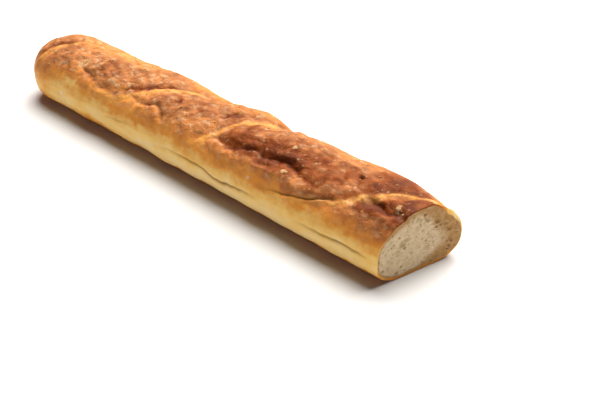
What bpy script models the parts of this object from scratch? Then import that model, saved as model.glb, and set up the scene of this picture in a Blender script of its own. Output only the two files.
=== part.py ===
"""A baguette with one end cut off, lying on its flat base.

Metres, +Z up. The origin is on the floor under the middle of the loaf. +X runs along the loaf to
the cut face, and -Y is the side with the long crease. Places on the crust are given as `back`, the
distance back from the cut face, and `over`, the distance round the girth from the crown line,
positive down the -Y side.
"""

import bmesh
import bpy
import numpy as np
from mathutils import Matrix, Vector, noise

# Driving dimensions
LENGTH = 0.424
WIDTH = 0.0745
HEIGHT = 0.0491
END_DEPTH = 0.036          # how far the rounded end takes to reach full girth
END_BLUNTNESS = 2.50       # 2 is a half ellipse, more is blunter
END_CENTRE = 0.59          # height that the rounded end closes on, as a share of HEIGHT
CUT_SKEW = 0.19            # how far the cut leans along the loaf for each metre across it
CUT_FADE = 0.062           # length over which the sections turn to lie along the cut

# Section: widest part and how round its shoulders are above and below that
WIDEST_HEIGHT = 0.44
TOP_ROUNDING = 0.92
BASE_ROUNDING = 0.68
BASE_FLAT = 0.0010         # depth pressed flat on the baking sheet

# Girth along the loaf: (back, share of the full girth)
GIRTH = ((0.0, 0.985), (0.050, 1.010), (0.190, 1.000), (0.290, 0.988), (0.370, 0.998), (0.424, 0.978))

# Strips of skin left between the slashes. They stay low: (back, over, depth of the valley)
STRIPS = (
    ((0.401, 0.036, 0.0), (0.3965, 0.024, 0.0010), (0.391, 0.011, 0.0012), (0.384, 0.003, 0.0010),
     (0.374, -0.004, 0.0)),
    ((0.320, 0.037, 0.0), (0.297, 0.033, 0.0010), (0.279, 0.026, 0.0020), (0.258, 0.005, 0.0020),
     (0.237, -0.010, 0.0032), (0.222, -0.018, 0.0074), (0.209, -0.026, 0.0086),
     (0.196, -0.034, 0.0088), (0.180, -0.050, 0.0020)),
    ((0.192, 0.040, 0.0), (0.187, 0.030, 0.0012), (0.178, 0.016, 0.0024), (0.170, 0.0, 0.0024),
     (0.158, -0.015, 0.0032), (0.141, -0.029, 0.0056), (0.128, -0.048, 0.0)),
    ((0.095, 0.041, 0.0), (0.064, 0.031, 0.0014), (0.046, 0.022, 0.0018), (0.034, 0.010, 0.0018),
     (0.024, -0.001, 0.0016), (0.014, -0.012, 0.0022), (0.0, -0.027, 0.0024), (-0.012, -0.040, 0.0022)),
)
STRIP_WIDTH = 0.0080
STRIP_WELT = 0.0007        # raised along the middle of a strip
STRIP_WELT_WIDTH = 0.0022

# Lobes of dough that swelled out of the slashes: (back, over, swell)
LOBES = (
    ((0.352, 0.018, 0.0008), (0.318, -0.004, 0.0018), (0.263, -0.028, 0.0030), (0.252, -0.048, 0.0)),
    ((0.252, 0.018, 0.0010), (0.224, 0.0, 0.0014), (0.194, -0.016, 0.0018), (0.174, -0.029, 0.0042),
     (0.163, -0.048, 0.0)),
    ((0.158, 0.014, 0.0014), (0.112, -0.010, 0.0033), (0.076, -0.018, 0.0018), (0.038, -0.029, 0.0036),
     (0.020, -0.048, 0.0)),
    ((0.030, 0.022, 0.0006), (0.004, 0.006, 0.0018), (-0.020, -0.006, 0.0020)),
)
LOBE_WIDTH = 0.0170

# Shoulders that sagged under the knife or in baking: (back, over, half length, half width, depth)
SAGS = (
    (0.000, -0.033, 0.0038, 0.014, 0.0034),
    (-0.002, 0.022, 0.012, 0.021, 0.0034),
    (0.324, -0.023, 0.007, 0.008, 0.0013),
)

# Where a lobe broke away from the skin: (back, over, depth)
CREVICES = (
    ((0.402, 0.018, 0.0), (0.392, 0.006, 0.0010), (0.380, -0.002, 0.0)),
    ((0.352, 0.020, 0.0), (0.342, 0.023, 0.0012), (0.331, 0.026, 0.0017), (0.322, 0.028, 0.0005),
     (0.310, 0.029, 0.0007), (0.297, 0.027, 0.0006), (0.284, 0.019, 0.0014), (0.270, 0.008, 0.0013),
     (0.258, -0.002, 0.0008), (0.248, -0.010, 0.0)),
    ((0.280, 0.025, 0.0), (0.262, 0.027, 0.0010), (0.247, 0.024, 0.0016), (0.238, 0.028, 0.0018),
     (0.230, 0.035, 0.0)),
    ((0.191, 0.008, 0.0), (0.187, 0.003, 0.0020), (0.181, -0.004, 0.0026), (0.173, -0.011, 0.0010),
     (0.160, -0.022, 0.0)),
    ((0.180, 0.024, 0.0), (0.170, 0.026, 0.0014), (0.158, 0.025, 0.0018), (0.145, 0.021, 0.0016),
     (0.128, 0.020, 0.0018), (0.112, 0.018, 0.0030), (0.102, 0.018, 0.0030), (0.093, 0.022, 0.0010),
     (0.080, 0.023, 0.0006), (0.070, 0.022, 0.0)),
    ((0.0375, 0.012, 0.0), (0.033, 0.0135, 0.0020), (0.024, 0.016, 0.0030), (0.016, 0.018, 0.0016),
     (0.008, 0.015, 0.0022), (0.0, 0.016, 0.0012)),
)
CREVICE_WIDTH = 0.0030

# Edge of skin that curls up beside a crevice: (back, over, height)
LIPS = (
    ((0.354, 0.028, 0.0), (0.332, 0.033, 0.0006), (0.296, 0.037, 0.0005), (0.276, 0.030, 0.0)),
    ((0.270, 0.032, 0.0), (0.250, 0.032, 0.0006), (0.236, 0.037, 0.0)),
    ((0.184, 0.030, 0.0), (0.164, 0.033, 0.0012), (0.140, 0.031, 0.0016), (0.108, 0.029, 0.0018),
     (0.084, 0.031, 0.0012), (0.064, 0.028, 0.0)),
    ((0.036, 0.022, 0.0), (0.020, 0.024, 0.0010), (0.0, 0.024, 0.0008)),
)
LIP_WIDTH = 0.0034

# Thin creases low on the -Y side, where the skin wrinkled in proving: (back, over, depth)
CREASES = (
    ((0.300, 0.051, 0.0), (0.285, 0.0495, 0.0004), (0.266, 0.048, 0.0)),
    ((0.232, 0.052, 0.0), (0.197, 0.0505, 0.0006), (0.178, 0.052, 0.0008), (0.162, 0.055, 0.0008),
     (0.140, 0.053, 0.0007), (0.116, 0.052, 0.0)),
    ((0.084, 0.053, 0.0), (0.056, 0.053, 0.0006), (0.028, 0.052, 0.0007), (0.014, 0.053, 0.0)),
    ((0.122, 0.042, 0.0), (0.106, 0.0405, 0.0004), (0.090, 0.038, 0.0011), (0.074, 0.034, 0.0014),
     (0.062, 0.028, 0.0010), (0.052, 0.024, 0.0)),
)
CREASE_WIDTH = 0.0010

# Burst blisters in the crust: (back, over, radius, depth)
BLISTERS = (
    (0.0548, -0.001, 0.0022, 0.0026),
    (0.2322, 0.0085, 0.0022, 0.0020),
    (0.3400, 0.010, 0.0026, 0.0008),
    (0.0640, 0.014, 0.0018, 0.0012),
)

# Gentle lumps everywhere, and crags on the swollen lobes: size and height of each
LUMP_SIZE = 0.026
LUMP_HEIGHT = 0.0010
LUMP_SEED = 1
CRAG_SIZE = 0.0065
CRAG_HEIGHT = 0.0011
CRAG_SEED = 2
CRAG_START = -0.032        # `over` at which the crags start on the +Y side
CRAG_STOP = 0.040          # and stop on the -Y side
CRAG_FADE = 0.016
UNDERSIDE = 0.080          # `over` from which the loaf is smooth underneath
UNDERSIDE_FADE = 0.016

# How the edges of the features wander: size and reach of each wave
WANDER = (
    (0.0120, 0.0028),
    (0.0046, 0.0016),
)
FIRST_WANDER_SEED = 11
CREASE_WANDER = 0.3        # creases wander less, by this share
NOISE_SHIFT = Vector((3.1, 7.3, 1.7))    # how far apart in the noise the seeds are

# Largest pores in the cut face: (across, height, radius, depth)
PORES = (
    (-0.0306, 0.0110, 0.0014, 0.0022),
    (-0.0190, 0.0048, 0.0014, 0.0022),
    (-0.0151, 0.0089, 0.0012, 0.0018),
    (-0.0116, 0.0290, 0.0026, 0.0016),
    (-0.0156, 0.0262, 0.0022, 0.0018),
    (-0.0188, 0.0224, 0.0018, 0.0012),
    (-0.0250, 0.0165, 0.0018, 0.0010),
    (-0.0244, 0.0320, 0.0020, 0.0010),
    (-0.0030, 0.0346, 0.0022, 0.0013),
    (-0.0022, 0.0415, 0.0020, 0.0014),
    (0.0051, 0.0380, 0.0020, 0.0018),
    (0.0055, 0.0167, 0.0022, 0.0012),
    (0.0091, 0.0246, 0.0024, 0.0013),
    (0.0139, 0.0345, 0.0024, 0.0024),
    (0.0198, 0.0187, 0.0020, 0.0013),
    (0.0214, 0.0300, 0.0018, 0.0014),
    (0.0250, 0.0246, 0.0024, 0.0022),
)

# Mesh density before it is thinned
STATION_STEP = 0.0016
COLUMNS = 140
CUT_RINGS = 34
SECTION_SAMPLES = 4001     # points that the section's girth is measured with
TURN_DENSITY = 1.5         # stations on the rounded end, against the same length of body
CURVE_STEPS = 8            # straight steps between two rows of a path
SOLID_TRIANGLES = 11400

COLLECTION = "baguette"
CRUST_COLOUR = (0.48, 0.20, 0.07, 1.0)
CRUST_ROUGHNESS = 0.72


def clear_scene():
    for item in list(bpy.data.objects):
        bpy.data.objects.remove(item, do_unlink=True)


def smooth_step(value):
    value = np.clip(value, 0.0, 1.0)
    return value * value * (3.0 - 2.0 * value)


def signed_power(value, power):
    return np.sign(value) * np.abs(value) ** power


def girth_share(back):
    """Share of the full girth at a distance back from the cut, eased between the named places."""
    places = np.array([place for place, share in GIRTH])
    shares = np.array([share for place, share in GIRTH])
    index = np.clip(np.searchsorted(places, back, side="right") - 1, 0, len(places) - 2)
    span = (back - places[index]) / (places[index + 1] - places[index])
    return shares[index] + (shares[index + 1] - shares[index]) * smooth_step(span)


def section(angle, width, height):
    """Point of a section at an angle from the crown, positive down the -Y side."""
    sine = np.sin(angle)
    cosine = np.cos(angle)
    power = np.where(cosine >= 0.0, TOP_ROUNDING, BASE_ROUNDING)
    reach = np.where(cosine >= 0.0, 1.0 - WIDEST_HEIGHT, WIDEST_HEIGHT)
    across = -signed_power(sine, power) * width / 2.0
    rise = (WIDEST_HEIGHT + reach * signed_power(cosine, power)) * (height + BASE_FLAT)
    return across, np.maximum(rise - BASE_FLAT, 0.0)


def even_girth(count):
    """Angles that share the full section's girth evenly, and the distance of each from the crown."""
    angle = np.linspace(-np.pi, np.pi, SECTION_SAMPLES)
    across, rise = section(angle, WIDTH, HEIGHT)
    walked = np.concatenate(([0.0], np.cumsum(np.hypot(np.diff(across), np.diff(rise)))))
    girth = walked[-1]
    over = (np.arange(count) / count) * girth
    return np.interp(over, walked, angle), over - girth / 2.0


def curve_through(path):
    """Catmull-Rom curve through the rows of a path."""
    rows = np.array(path)
    rows = np.vstack((2.0 * rows[0] - rows[1], rows, 2.0 * rows[-1] - rows[-2]))
    curve = []
    for start in range(1, len(rows) - 2):
        before, here, there, after = rows[start - 1:start + 3]
        for share in np.arange(CURVE_STEPS) / CURVE_STEPS:
            curve.append(0.5 * (2.0 * here + (there - before) * share
                                + (2.0 * before - 5.0 * here + 4.0 * there - after) * share ** 2
                                + (3.0 * here - before - 3.0 * there + after) * share ** 3))
    curve.append(rows[-2])
    return np.array(curve)


def along(path, back, over):
    """Distance of each crust point from a path, and the path's height beside it."""
    nearest = np.full(back.shape, 1.0)
    height = np.zeros(back.shape)
    curve = curve_through(path)
    for first, second in zip(curve[:-1], curve[1:]):
        step = second - first
        reach = step[0] ** 2 + step[1] ** 2 + 1e-12
        share = ((back - first[0]) * step[0] + (over - first[1]) * step[1]) / reach
        share = np.clip(share, 0.0, 1.0)
        distance = np.hypot(back - first[0] - share * step[0], over - first[1] - share * step[1])
        closer = distance < nearest
        nearest = np.where(closer, distance, nearest)
        height = np.where(closer, first[2] + share * step[2], height)
    return nearest, height


def ridge(paths, width, back, over):
    """Height of soft-sided ridges that follow paths."""
    total = np.zeros(back.shape)
    for path in paths:
        distance, height = along(path, back, over)
        total = np.maximum(total, height * np.exp(-(distance / width) ** 2))
    return total


def rough(points, size, seed):
    """Smooth noise between about -1 and 1, with lumps of a size, at each point."""
    shift = seed * NOISE_SHIFT
    flat = (points / size).reshape(-1, 3).tolist()
    values = [noise.noise(Vector(point) + shift) for point in flat]
    return np.array(values).reshape(points.shape[:-1])


def strip_welt(back, over):
    """Height of the raised welt along the middle of each strip of skin."""
    nearest = np.full(back.shape, 1.0)
    for path in STRIPS:
        distance, _ = along(path, back, over)
        nearest = np.minimum(nearest, distance)
    return STRIP_WELT * np.exp(-(nearest / STRIP_WELT_WIDTH) ** 2)


def wandered(back, over, points):
    """The crust places moved about a little, so that features drawn at them have uneven edges."""
    for number, (size, reach) in enumerate(WANDER):
        seed = FIRST_WANDER_SEED + 2 * number
        back = back + reach * rough(points, size, seed)
        over = over + reach * rough(points, size, seed + 1)
    return back, over


def dents(back, over):
    """Depth of the burst blisters: round, soft-edged dents."""
    depths = np.zeros(back.shape)
    for place, round_girth, radius, depth in BLISTERS:
        depths += depth * np.exp(-((back - place) ** 2 + (over - round_girth) ** 2) / radius ** 2)
    return depths


def sagged(back, over):
    """Depth that the shoulders sagged by beside the cut."""
    depths = np.zeros(back.shape)
    for place, round_girth, half_length, half_width, depth in SAGS:
        depths += depth * np.exp(-((back - place) / half_length) ** 2
                                 - ((over - round_girth) / half_width) ** 2)
    return depths


def crust_relief(back, over, points):
    """Height of the crust above the plain loaf."""
    moved_back, moved_over = wandered(back, over, points)
    relief = ridge(LOBES, LOBE_WIDTH, moved_back, moved_over)
    relief -= ridge(STRIPS, STRIP_WIDTH, moved_back, moved_over)
    relief += strip_welt(moved_back, moved_over)
    relief += ridge(LIPS, LIP_WIDTH, moved_back, moved_over)
    relief -= ridge(CREVICES, CREVICE_WIDTH, moved_back, moved_over)
    crease_back = back + CREASE_WANDER * (moved_back - back)
    crease_over = over + CREASE_WANDER * (moved_over - over)
    relief -= ridge(CREASES, CREASE_WIDTH, crease_back, crease_over)
    relief -= dents(moved_back, moved_over)
    relief -= sagged(back, over)
    craggy = smooth_step((over - CRAG_START) / CRAG_FADE) * smooth_step((CRAG_STOP - over) / CRAG_FADE)
    relief += LUMP_HEIGHT * rough(points, LUMP_SIZE, LUMP_SEED)
    relief += CRAG_HEIGHT * craggy * rough(points, CRAG_SIZE, CRAG_SEED)
    return relief * smooth_step((UNDERSIDE - np.abs(over)) / UNDERSIDE_FADE)


def stations():
    """Distances back from the cut face, closer together on the rounded end."""
    body = np.arange(0.0, LENGTH - END_DEPTH, STATION_STEP)
    turn = np.linspace(0.0, np.pi / 2.0, int(TURN_DENSITY * END_DEPTH / STATION_STEP))
    return np.concatenate((body, LENGTH - END_DEPTH + END_DEPTH * np.sin(turn)[:-1]))


def outward_of(plain):
    """Unit normals of a grid of points whose rows are closed sections."""
    by_station = np.gradient(plain, axis=0)
    by_girth = np.roll(plain, -1, axis=1) - np.roll(plain, 1, axis=1)
    normal = np.cross(by_station, by_girth)
    return normal / np.maximum(np.linalg.norm(normal, axis=-1, keepdims=True), 1e-12)


def crust_grid(backs, angles, overs):
    """Crust points, one row for each station from the cut face to the rounded end."""
    back, angle = np.meshgrid(backs, angles, indexing="ij")
    over = np.broadcast_to(overs, back.shape)
    share = girth_share(back)
    into_end = np.clip((back - (LENGTH - END_DEPTH)) / END_DEPTH, 0.0, 1.0)
    rounding = np.sqrt(1.0 - into_end ** END_BLUNTNESS)
    across, rise = section(angle, WIDTH * share, HEIGHT * share)
    centre = END_CENTRE * HEIGHT * share
    across = across * rounding
    rise = centre + (rise - centre) * rounding
    near_cut = smooth_step(1.0 - back / CUT_FADE)
    along_x = LENGTH / 2.0 - back + CUT_SKEW * across * near_cut
    plain = np.stack((along_x, across, rise), axis=-1)
    relief = crust_relief(LENGTH / 2.0 - along_x, over, plain)
    lifted = plain + outward_of(plain) * (relief * rounding)[..., None]
    lifted[0, :, 0] = cut_plane(lifted[0, :, 1])
    lifted[..., 2] = np.maximum(lifted[..., 2], 0.0)
    return lifted


def cut_plane(across):
    return LENGTH / 2.0 + CUT_SKEW * across


def cut_face(rim):
    """Rings of points from just inside the rim of the cut to its middle, with the pores sunk in."""
    rings = []
    middle = WIDEST_HEIGHT * HEIGHT
    for ring in range(1, CUT_RINGS + 1):
        share = 1.0 - ring / CUT_RINGS
        across = rim[:, 1] * share
        rise = middle + (rim[:, 2] - middle) * share
        sink = np.zeros(across.shape)
        for place, height, radius, depth in PORES:
            sink += depth * np.exp(-((across - place) ** 2 + (rise - height) ** 2) / radius ** 2)
        rings.append(np.stack((cut_plane(across) - sink, across, rise), axis=-1))
    return np.array(rings)


def quads_between(first_row, second_row, count):
    """Faces that join two closed rows of points, given the number of each row's first point."""
    faces = []
    for column in range(count):
        following = (column + 1) % count
        faces.append((first_row + column, first_row + following,
                      second_row + following, second_row + column))
    return faces


def loaf_mesh():
    """Closed mesh of the loaf: its crust, the rounded end's tip and the cut face."""
    angles, overs = even_girth(COLUMNS)
    crust = crust_grid(stations(), angles, overs)
    face = cut_face(crust[0])
    rows = np.concatenate((face[-2::-1], crust))
    middle = face[-1, 0]
    tip = np.array((-LENGTH / 2.0, 0.0, END_CENTRE * HEIGHT * girth_share(np.array(LENGTH))))
    points = rows.reshape(-1, 3).tolist() + [middle.tolist(), tip.tolist()]
    faces = []
    for row in range(len(rows) - 1):
        faces.extend(quads_between(row * COLUMNS, (row + 1) * COLUMNS, COLUMNS))
    middle_number = len(rows) * COLUMNS
    last_row = (len(rows) - 1) * COLUMNS
    for column in range(COLUMNS):
        following = (column + 1) % COLUMNS
        faces.append((middle_number, following, column))
        faces.append((middle_number + 1, last_row + column, last_row + following))
    mesh = bpy.data.meshes.new("baguette")
    mesh.from_pydata(points, [], faces)
    mesh.update()
    return mesh


def centre_on_floor(mesh):
    """Moves the mesh so that the middle of its box is over the origin."""
    corners = np.array([vertex.co for vertex in mesh.vertices])
    middle = (corners.min(axis=0) + corners.max(axis=0)) / 2.0
    move = Vector((-middle[0], -middle[1], -corners[:, 2].min()))
    mesh.transform(Matrix.Translation(move))


def outward_faces(mesh):
    work = bmesh.new()
    work.from_mesh(mesh)
    bmesh.ops.recalc_face_normals(work, faces=work.faces)
    work.to_mesh(mesh)
    work.free()


def crust_material():
    material = bpy.data.materials.new("crust")
    material.use_nodes = True
    shader = material.node_tree.nodes["Principled BSDF"]
    shader.inputs["Base Color"].default_value = CRUST_COLOUR
    shader.inputs["Roughness"].default_value = CRUST_ROUGHNESS
    shader.inputs["Metallic"].default_value = 0.0
    return material


def make_baguette(collection):
    mesh = loaf_mesh()
    centre_on_floor(mesh)
    outward_faces(mesh)
    mesh.materials.append(crust_material())
    loaf = bpy.data.objects.new("baguette", mesh)
    collection.objects.link(loaf)
    triangles = sum(len(face.vertices) - 2 for face in mesh.polygons)
    thin = loaf.modifiers.new("thin", "DECIMATE")
    thin.decimate_type = "COLLAPSE"
    thin.ratio = SOLID_TRIANGLES / triangles
    thin.use_collapse_triangulate = True
    return loaf


def main():
    clear_scene()
    collection = bpy.data.collections.new(COLLECTION)
    bpy.context.scene.collection.children.link(collection)
    make_baguette(collection)


main()
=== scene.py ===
"""The looks of a cut baguette: its baked crust, the open crumb at the cut, flour and stray bits.

The file is laid out as an add-on and run as a script. Places on the crust are given as `back`, the
distance back from the cut face, and `over`, the distance round the girth from the crown line,
positive down the -Y side. Both are in metres, as everything here is.
"""

import functools
import math

import bmesh
import bpy
import numpy as np
from bpy.props import FloatProperty, FloatVectorProperty, IntProperty, PointerProperty
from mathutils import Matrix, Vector, noise


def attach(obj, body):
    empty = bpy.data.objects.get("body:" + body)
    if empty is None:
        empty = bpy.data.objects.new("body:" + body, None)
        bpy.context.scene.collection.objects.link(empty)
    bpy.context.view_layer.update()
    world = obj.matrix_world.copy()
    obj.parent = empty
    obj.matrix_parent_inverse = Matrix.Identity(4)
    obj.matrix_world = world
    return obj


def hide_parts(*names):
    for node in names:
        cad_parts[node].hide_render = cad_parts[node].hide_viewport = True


bl_info = {
    "name": "Cut Baguette",
    "version": (1, 0, 0),
    "blender": (4, 5, 0),
    "location": "View3D > Sidebar > Baguette",
    "description": "Builds a cut baguette with its crust, crumb, flour and studio",
    "category": "Add Mesh",
}

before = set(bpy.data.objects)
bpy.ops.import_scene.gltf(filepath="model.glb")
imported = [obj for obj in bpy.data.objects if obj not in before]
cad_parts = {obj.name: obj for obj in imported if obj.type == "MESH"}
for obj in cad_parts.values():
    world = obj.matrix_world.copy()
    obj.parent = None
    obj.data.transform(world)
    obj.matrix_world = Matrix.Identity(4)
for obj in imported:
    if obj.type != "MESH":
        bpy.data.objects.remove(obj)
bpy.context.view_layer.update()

BODY = "root"
LOAF_NODE = "baguette"

# ---------------------------------------------------------------------------------------------
# The loaf's plain form: the same named sizes as its solid
# ---------------------------------------------------------------------------------------------

LENGTH = 0.424
WIDTH = 0.0745
HEIGHT = 0.0491
END_DEPTH = 0.036          # how far the rounded end takes to reach full girth
END_BLUNTNESS = 2.50       # 2 is a half ellipse, more is blunter
END_CENTRE = 0.59          # height that the rounded end closes on, as a share of HEIGHT
CUT_SKEW = 0.19            # how far the cut leans along the loaf for each metre across it
CUT_FADE = 0.062           # length over which the sections turn to lie along the cut

WIDEST_HEIGHT = 0.44
TOP_ROUNDING = 0.92
BASE_ROUNDING = 0.68
BASE_FLAT = 0.0010         # depth pressed flat on the baking sheet

# Girth along the loaf: (back, share of the full girth)
GIRTH = ((0.0, 0.985), (0.050, 1.010), (0.190, 1.000), (0.290, 0.988), (0.370, 0.998), (0.424, 0.978))

# Strips of skin left between the slashes. They stay low: (back, over, depth of the valley)
STRIPS = (
    ((0.401, 0.036, 0.0), (0.3965, 0.024, 0.0010), (0.391, 0.011, 0.0012), (0.384, 0.003, 0.0010),
     (0.374, -0.004, 0.0)),
    ((0.320, 0.037, 0.0), (0.297, 0.033, 0.0010), (0.279, 0.026, 0.0020), (0.258, 0.005, 0.0020),
     (0.237, -0.010, 0.0032), (0.222, -0.018, 0.0074), (0.209, -0.026, 0.0086),
     (0.196, -0.034, 0.0088), (0.180, -0.050, 0.0020)),
    ((0.192, 0.040, 0.0), (0.187, 0.030, 0.0012), (0.178, 0.016, 0.0024), (0.170, 0.0, 0.0024),
     (0.158, -0.015, 0.0032), (0.141, -0.029, 0.0056), (0.128, -0.048, 0.0)),
    ((0.095, 0.041, 0.0), (0.064, 0.031, 0.0014), (0.046, 0.022, 0.0018), (0.034, 0.010, 0.0018),
     (0.024, -0.001, 0.0016), (0.014, -0.012, 0.0022), (0.0, -0.027, 0.0024), (-0.012, -0.040, 0.0022)),
)
STRIP_WIDTH = 0.0080
STRIP_WELT = 0.0007        # raised along the middle of a strip
STRIP_WELT_WIDTH = 0.0022

# Lobes of dough that swelled out of the slashes: (back, over, swell)
LOBES = (
    ((0.352, 0.018, 0.0008), (0.318, -0.004, 0.0018), (0.263, -0.028, 0.0030), (0.252, -0.048, 0.0)),
    ((0.252, 0.018, 0.0010), (0.224, 0.0, 0.0014), (0.194, -0.016, 0.0018), (0.174, -0.029, 0.0042),
     (0.163, -0.048, 0.0)),
    ((0.158, 0.014, 0.0014), (0.112, -0.010, 0.0033), (0.076, -0.018, 0.0018), (0.038, -0.029, 0.0036),
     (0.020, -0.048, 0.0)),
    ((0.030, 0.022, 0.0006), (0.004, 0.006, 0.0018), (-0.020, -0.006, 0.0020)),
)
LOBE_WIDTH = 0.0170

# Shoulders that sagged under the knife or in baking: (back, over, half length, half width, depth)
SAGS = (
    (0.000, -0.033, 0.0038, 0.014, 0.0034),
    (-0.002, 0.022, 0.012, 0.021, 0.0034),
    (0.324, -0.023, 0.007, 0.008, 0.0013),
)

# Where a lobe broke away from the skin: (back, over, depth)
CREVICES = (
    ((0.402, 0.018, 0.0), (0.392, 0.006, 0.0010), (0.380, -0.002, 0.0)),
    ((0.352, 0.020, 0.0), (0.342, 0.023, 0.0012), (0.331, 0.026, 0.0017), (0.322, 0.028, 0.0005),
     (0.310, 0.029, 0.0007), (0.297, 0.027, 0.0006), (0.284, 0.019, 0.0014), (0.270, 0.008, 0.0013),
     (0.258, -0.002, 0.0008), (0.248, -0.010, 0.0)),
    ((0.280, 0.025, 0.0), (0.262, 0.027, 0.0010), (0.247, 0.024, 0.0016), (0.238, 0.028, 0.0018),
     (0.230, 0.035, 0.0)),
    ((0.191, 0.008, 0.0), (0.187, 0.003, 0.0020), (0.181, -0.004, 0.0026), (0.173, -0.011, 0.0010),
     (0.160, -0.022, 0.0)),
    ((0.180, 0.024, 0.0), (0.170, 0.026, 0.0014), (0.158, 0.025, 0.0018), (0.145, 0.021, 0.0016),
     (0.128, 0.020, 0.0018), (0.112, 0.018, 0.0030), (0.102, 0.018, 0.0030), (0.093, 0.022, 0.0010),
     (0.080, 0.023, 0.0006), (0.070, 0.022, 0.0)),
    ((0.0375, 0.012, 0.0), (0.033, 0.0135, 0.0020), (0.024, 0.016, 0.0030), (0.016, 0.018, 0.0016),
     (0.008, 0.015, 0.0022), (0.0, 0.016, 0.0012)),
)
CREVICE_WIDTH = 0.0030

# Edge of skin that curls up beside a crevice: (back, over, height)
LIPS = (
    ((0.354, 0.028, 0.0), (0.332, 0.033, 0.0006), (0.296, 0.037, 0.0005), (0.276, 0.030, 0.0)),
    ((0.270, 0.032, 0.0), (0.250, 0.032, 0.0006), (0.236, 0.037, 0.0)),
    ((0.184, 0.030, 0.0), (0.164, 0.033, 0.0012), (0.140, 0.031, 0.0016), (0.108, 0.029, 0.0018),
     (0.084, 0.031, 0.0012), (0.064, 0.028, 0.0)),
    ((0.036, 0.022, 0.0), (0.020, 0.024, 0.0010), (0.0, 0.024, 0.0008)),
)
LIP_WIDTH = 0.0034

# Thin creases low on the -Y side, where the skin wrinkled in proving: (back, over, depth)
CREASES = (
    ((0.300, 0.051, 0.0), (0.285, 0.0495, 0.0004), (0.266, 0.048, 0.0)),
    ((0.232, 0.052, 0.0), (0.197, 0.0505, 0.0006), (0.178, 0.052, 0.0008), (0.162, 0.055, 0.0008),
     (0.140, 0.053, 0.0007), (0.116, 0.052, 0.0)),
    ((0.084, 0.053, 0.0), (0.056, 0.053, 0.0006), (0.028, 0.052, 0.0007), (0.014, 0.053, 0.0)),
    ((0.122, 0.042, 0.0), (0.106, 0.0405, 0.0004), (0.090, 0.038, 0.0011), (0.074, 0.034, 0.0014),
     (0.062, 0.028, 0.0010), (0.052, 0.024, 0.0)),
)
CREASE_WIDTH = 0.0010

# Burst blisters in the crust: (back, over, radius, depth)
BLISTERS = (
    (0.0548, -0.001, 0.0022, 0.0026),
    (0.2322, 0.0085, 0.0022, 0.0020),
    (0.3400, 0.010, 0.0026, 0.0008),
    (0.0640, 0.014, 0.0018, 0.0012),
)

LUMP_SIZE = 0.026
LUMP_HEIGHT = 0.0010
CRAG_SIZE = 0.0065
CRAG_HEIGHT = 0.0011
CRAG_START = -0.032        # `over` at which the crags start on the +Y side
CRAG_STOP = 0.040          # and stop on the -Y side
CRAG_FADE = 0.016
UNDERSIDE = 0.080          # `over` from which the loaf is smooth underneath
UNDERSIDE_FADE = 0.016

# Fine relief that only the looks carry: size and height of each, on skin and on opened dough
GRAIN = (
    (0.0036, 0.00008, 0.00036),
    (0.0019, 0.00004, 0.00014),
)
CRACK_SIZE = 0.0085
CRACK_DEPTH = 0.00045
CRACK_SHARE = 0.16         # share of the noise's range that the cracks take up

# How the dough opened over the crown, between the strips of skin
OPEN_START = -0.040        # `over` at which the dough on the +Y side starts to open fully
OPEN_FADE = 0.030
OPEN_LEAST = 0.35          # how far it opened beyond that
STRIP_CLOSES = 0.8         # how far a strip keeps it closed

# Coloured lines along the strips, crevices and creases; the dark colour along the crevices is partly
# painted shade, and along the creases it is painted shade
STRIP_LINE = 0.0034
STRIP_STOP = 0.046         # `over` at which the strips fade into the sides
STRIP_STOP_FADE = 0.012
STRIP_PATCH = 0.0060       # size of the patches in which a strip's colour breaks up
STRIP_SHOWN = 0.66         # share of it that shows, and how far that share varies
STRIP_VARIES = 0.7
SHADE_LINE = 0.0022
SHADE_OFFSET = 0.0036      # from the middle of a strip to the dark line along its rear edge
SHADE_STOP = 0.034
SHADE_STOP_FADE = 0.010
SHADE_HIDES = 0.6          # how far that dark line hides the strip
CREVICE_GLOW = 0.0026      # half width of the browning and painted shade round a crevice
CREVICE_FULL = 0.0030      # depth from which a crevice is as brown and as shaded as it gets
CREVICE_LINE = 0.0011
CREVICE_PATCH = 0.0050
CREVICE_SHOWN = 0.6
CREVICE_VARIES = 0.8
PATH_FULL = 0.0008         # height or depth from which the line along a path shows in full
CREASE_WANDER = 0.3        # share of the other features' wandering that the creases take part in
MOST_FLOUR = 1.2

# Where a strip bakes as dark as the dough beside it: (back, over, half length, half width, share)
STRIP_FADES = (
    (0.2220, -0.0180, 0.0180, 0.0090, 1.0),
    (0.1830, 0.0160, 0.0090, 0.0110, 0.15),
    (0.0340, 0.0100, 0.0160, 0.0140, 0.35),
    (0.3740, -0.0040, 0.0080, 0.0060, 0.8),
)

# How the edges of the features wander: size and reach of each wave
WANDER = (
    (0.0120, 0.0028),
    (0.0046, 0.0016),
)

# How the edge between browned and pale skin wanders besides, up to the calm skin low on the side
RAGGED = (
    (0.0100, 0.0042),
    (0.0042, 0.0028),
)
CALM_START = 0.028
CALM_FADE = 0.018
CALM = 0.85

# How much each kind of relief and patch adds to the browning; along the crevices this is partly painted
# shade
BLOTCH_SIZE = 0.0090
BLOTCH_BROWNS = 0.10
LUMP_BROWNS = 0.06
CRAG_BROWNS = 0.07
CRACK_BROWNS = 0.06
CREVICE_BROWNS_AND_SHADE = 0.26
CREVICE_LINE_BROWNS_AND_SHADE = 0.18
SHADE_BROWNS = 0.14

# Where the crust's colour is lively, and how lively it is on the rounded end
LIVELY_START = -0.092
LIVELY_RISE = 0.024
LIVELY_STOP = 0.057
LIVELY_FALL = 0.026
LIVELY_END = 0.7
ROUND_START = 0.45         # share of the rounded end's depth at which its own look starts
ROUND_FADE = 0.45

# Seeds of the noise, one for each layer. The listed waves count on from their layer's seed
SEEDS = {"lumps": 1, "crags": 2, "grain": 5, "cracks": 9, "wander": 11, "crevices": 17, "blotches": 18,
         "browning": 19, "cut edge": 21, "worn edge": 22, "strips": 23, "ripple": 31, "shaded crumb": 33}
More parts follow.
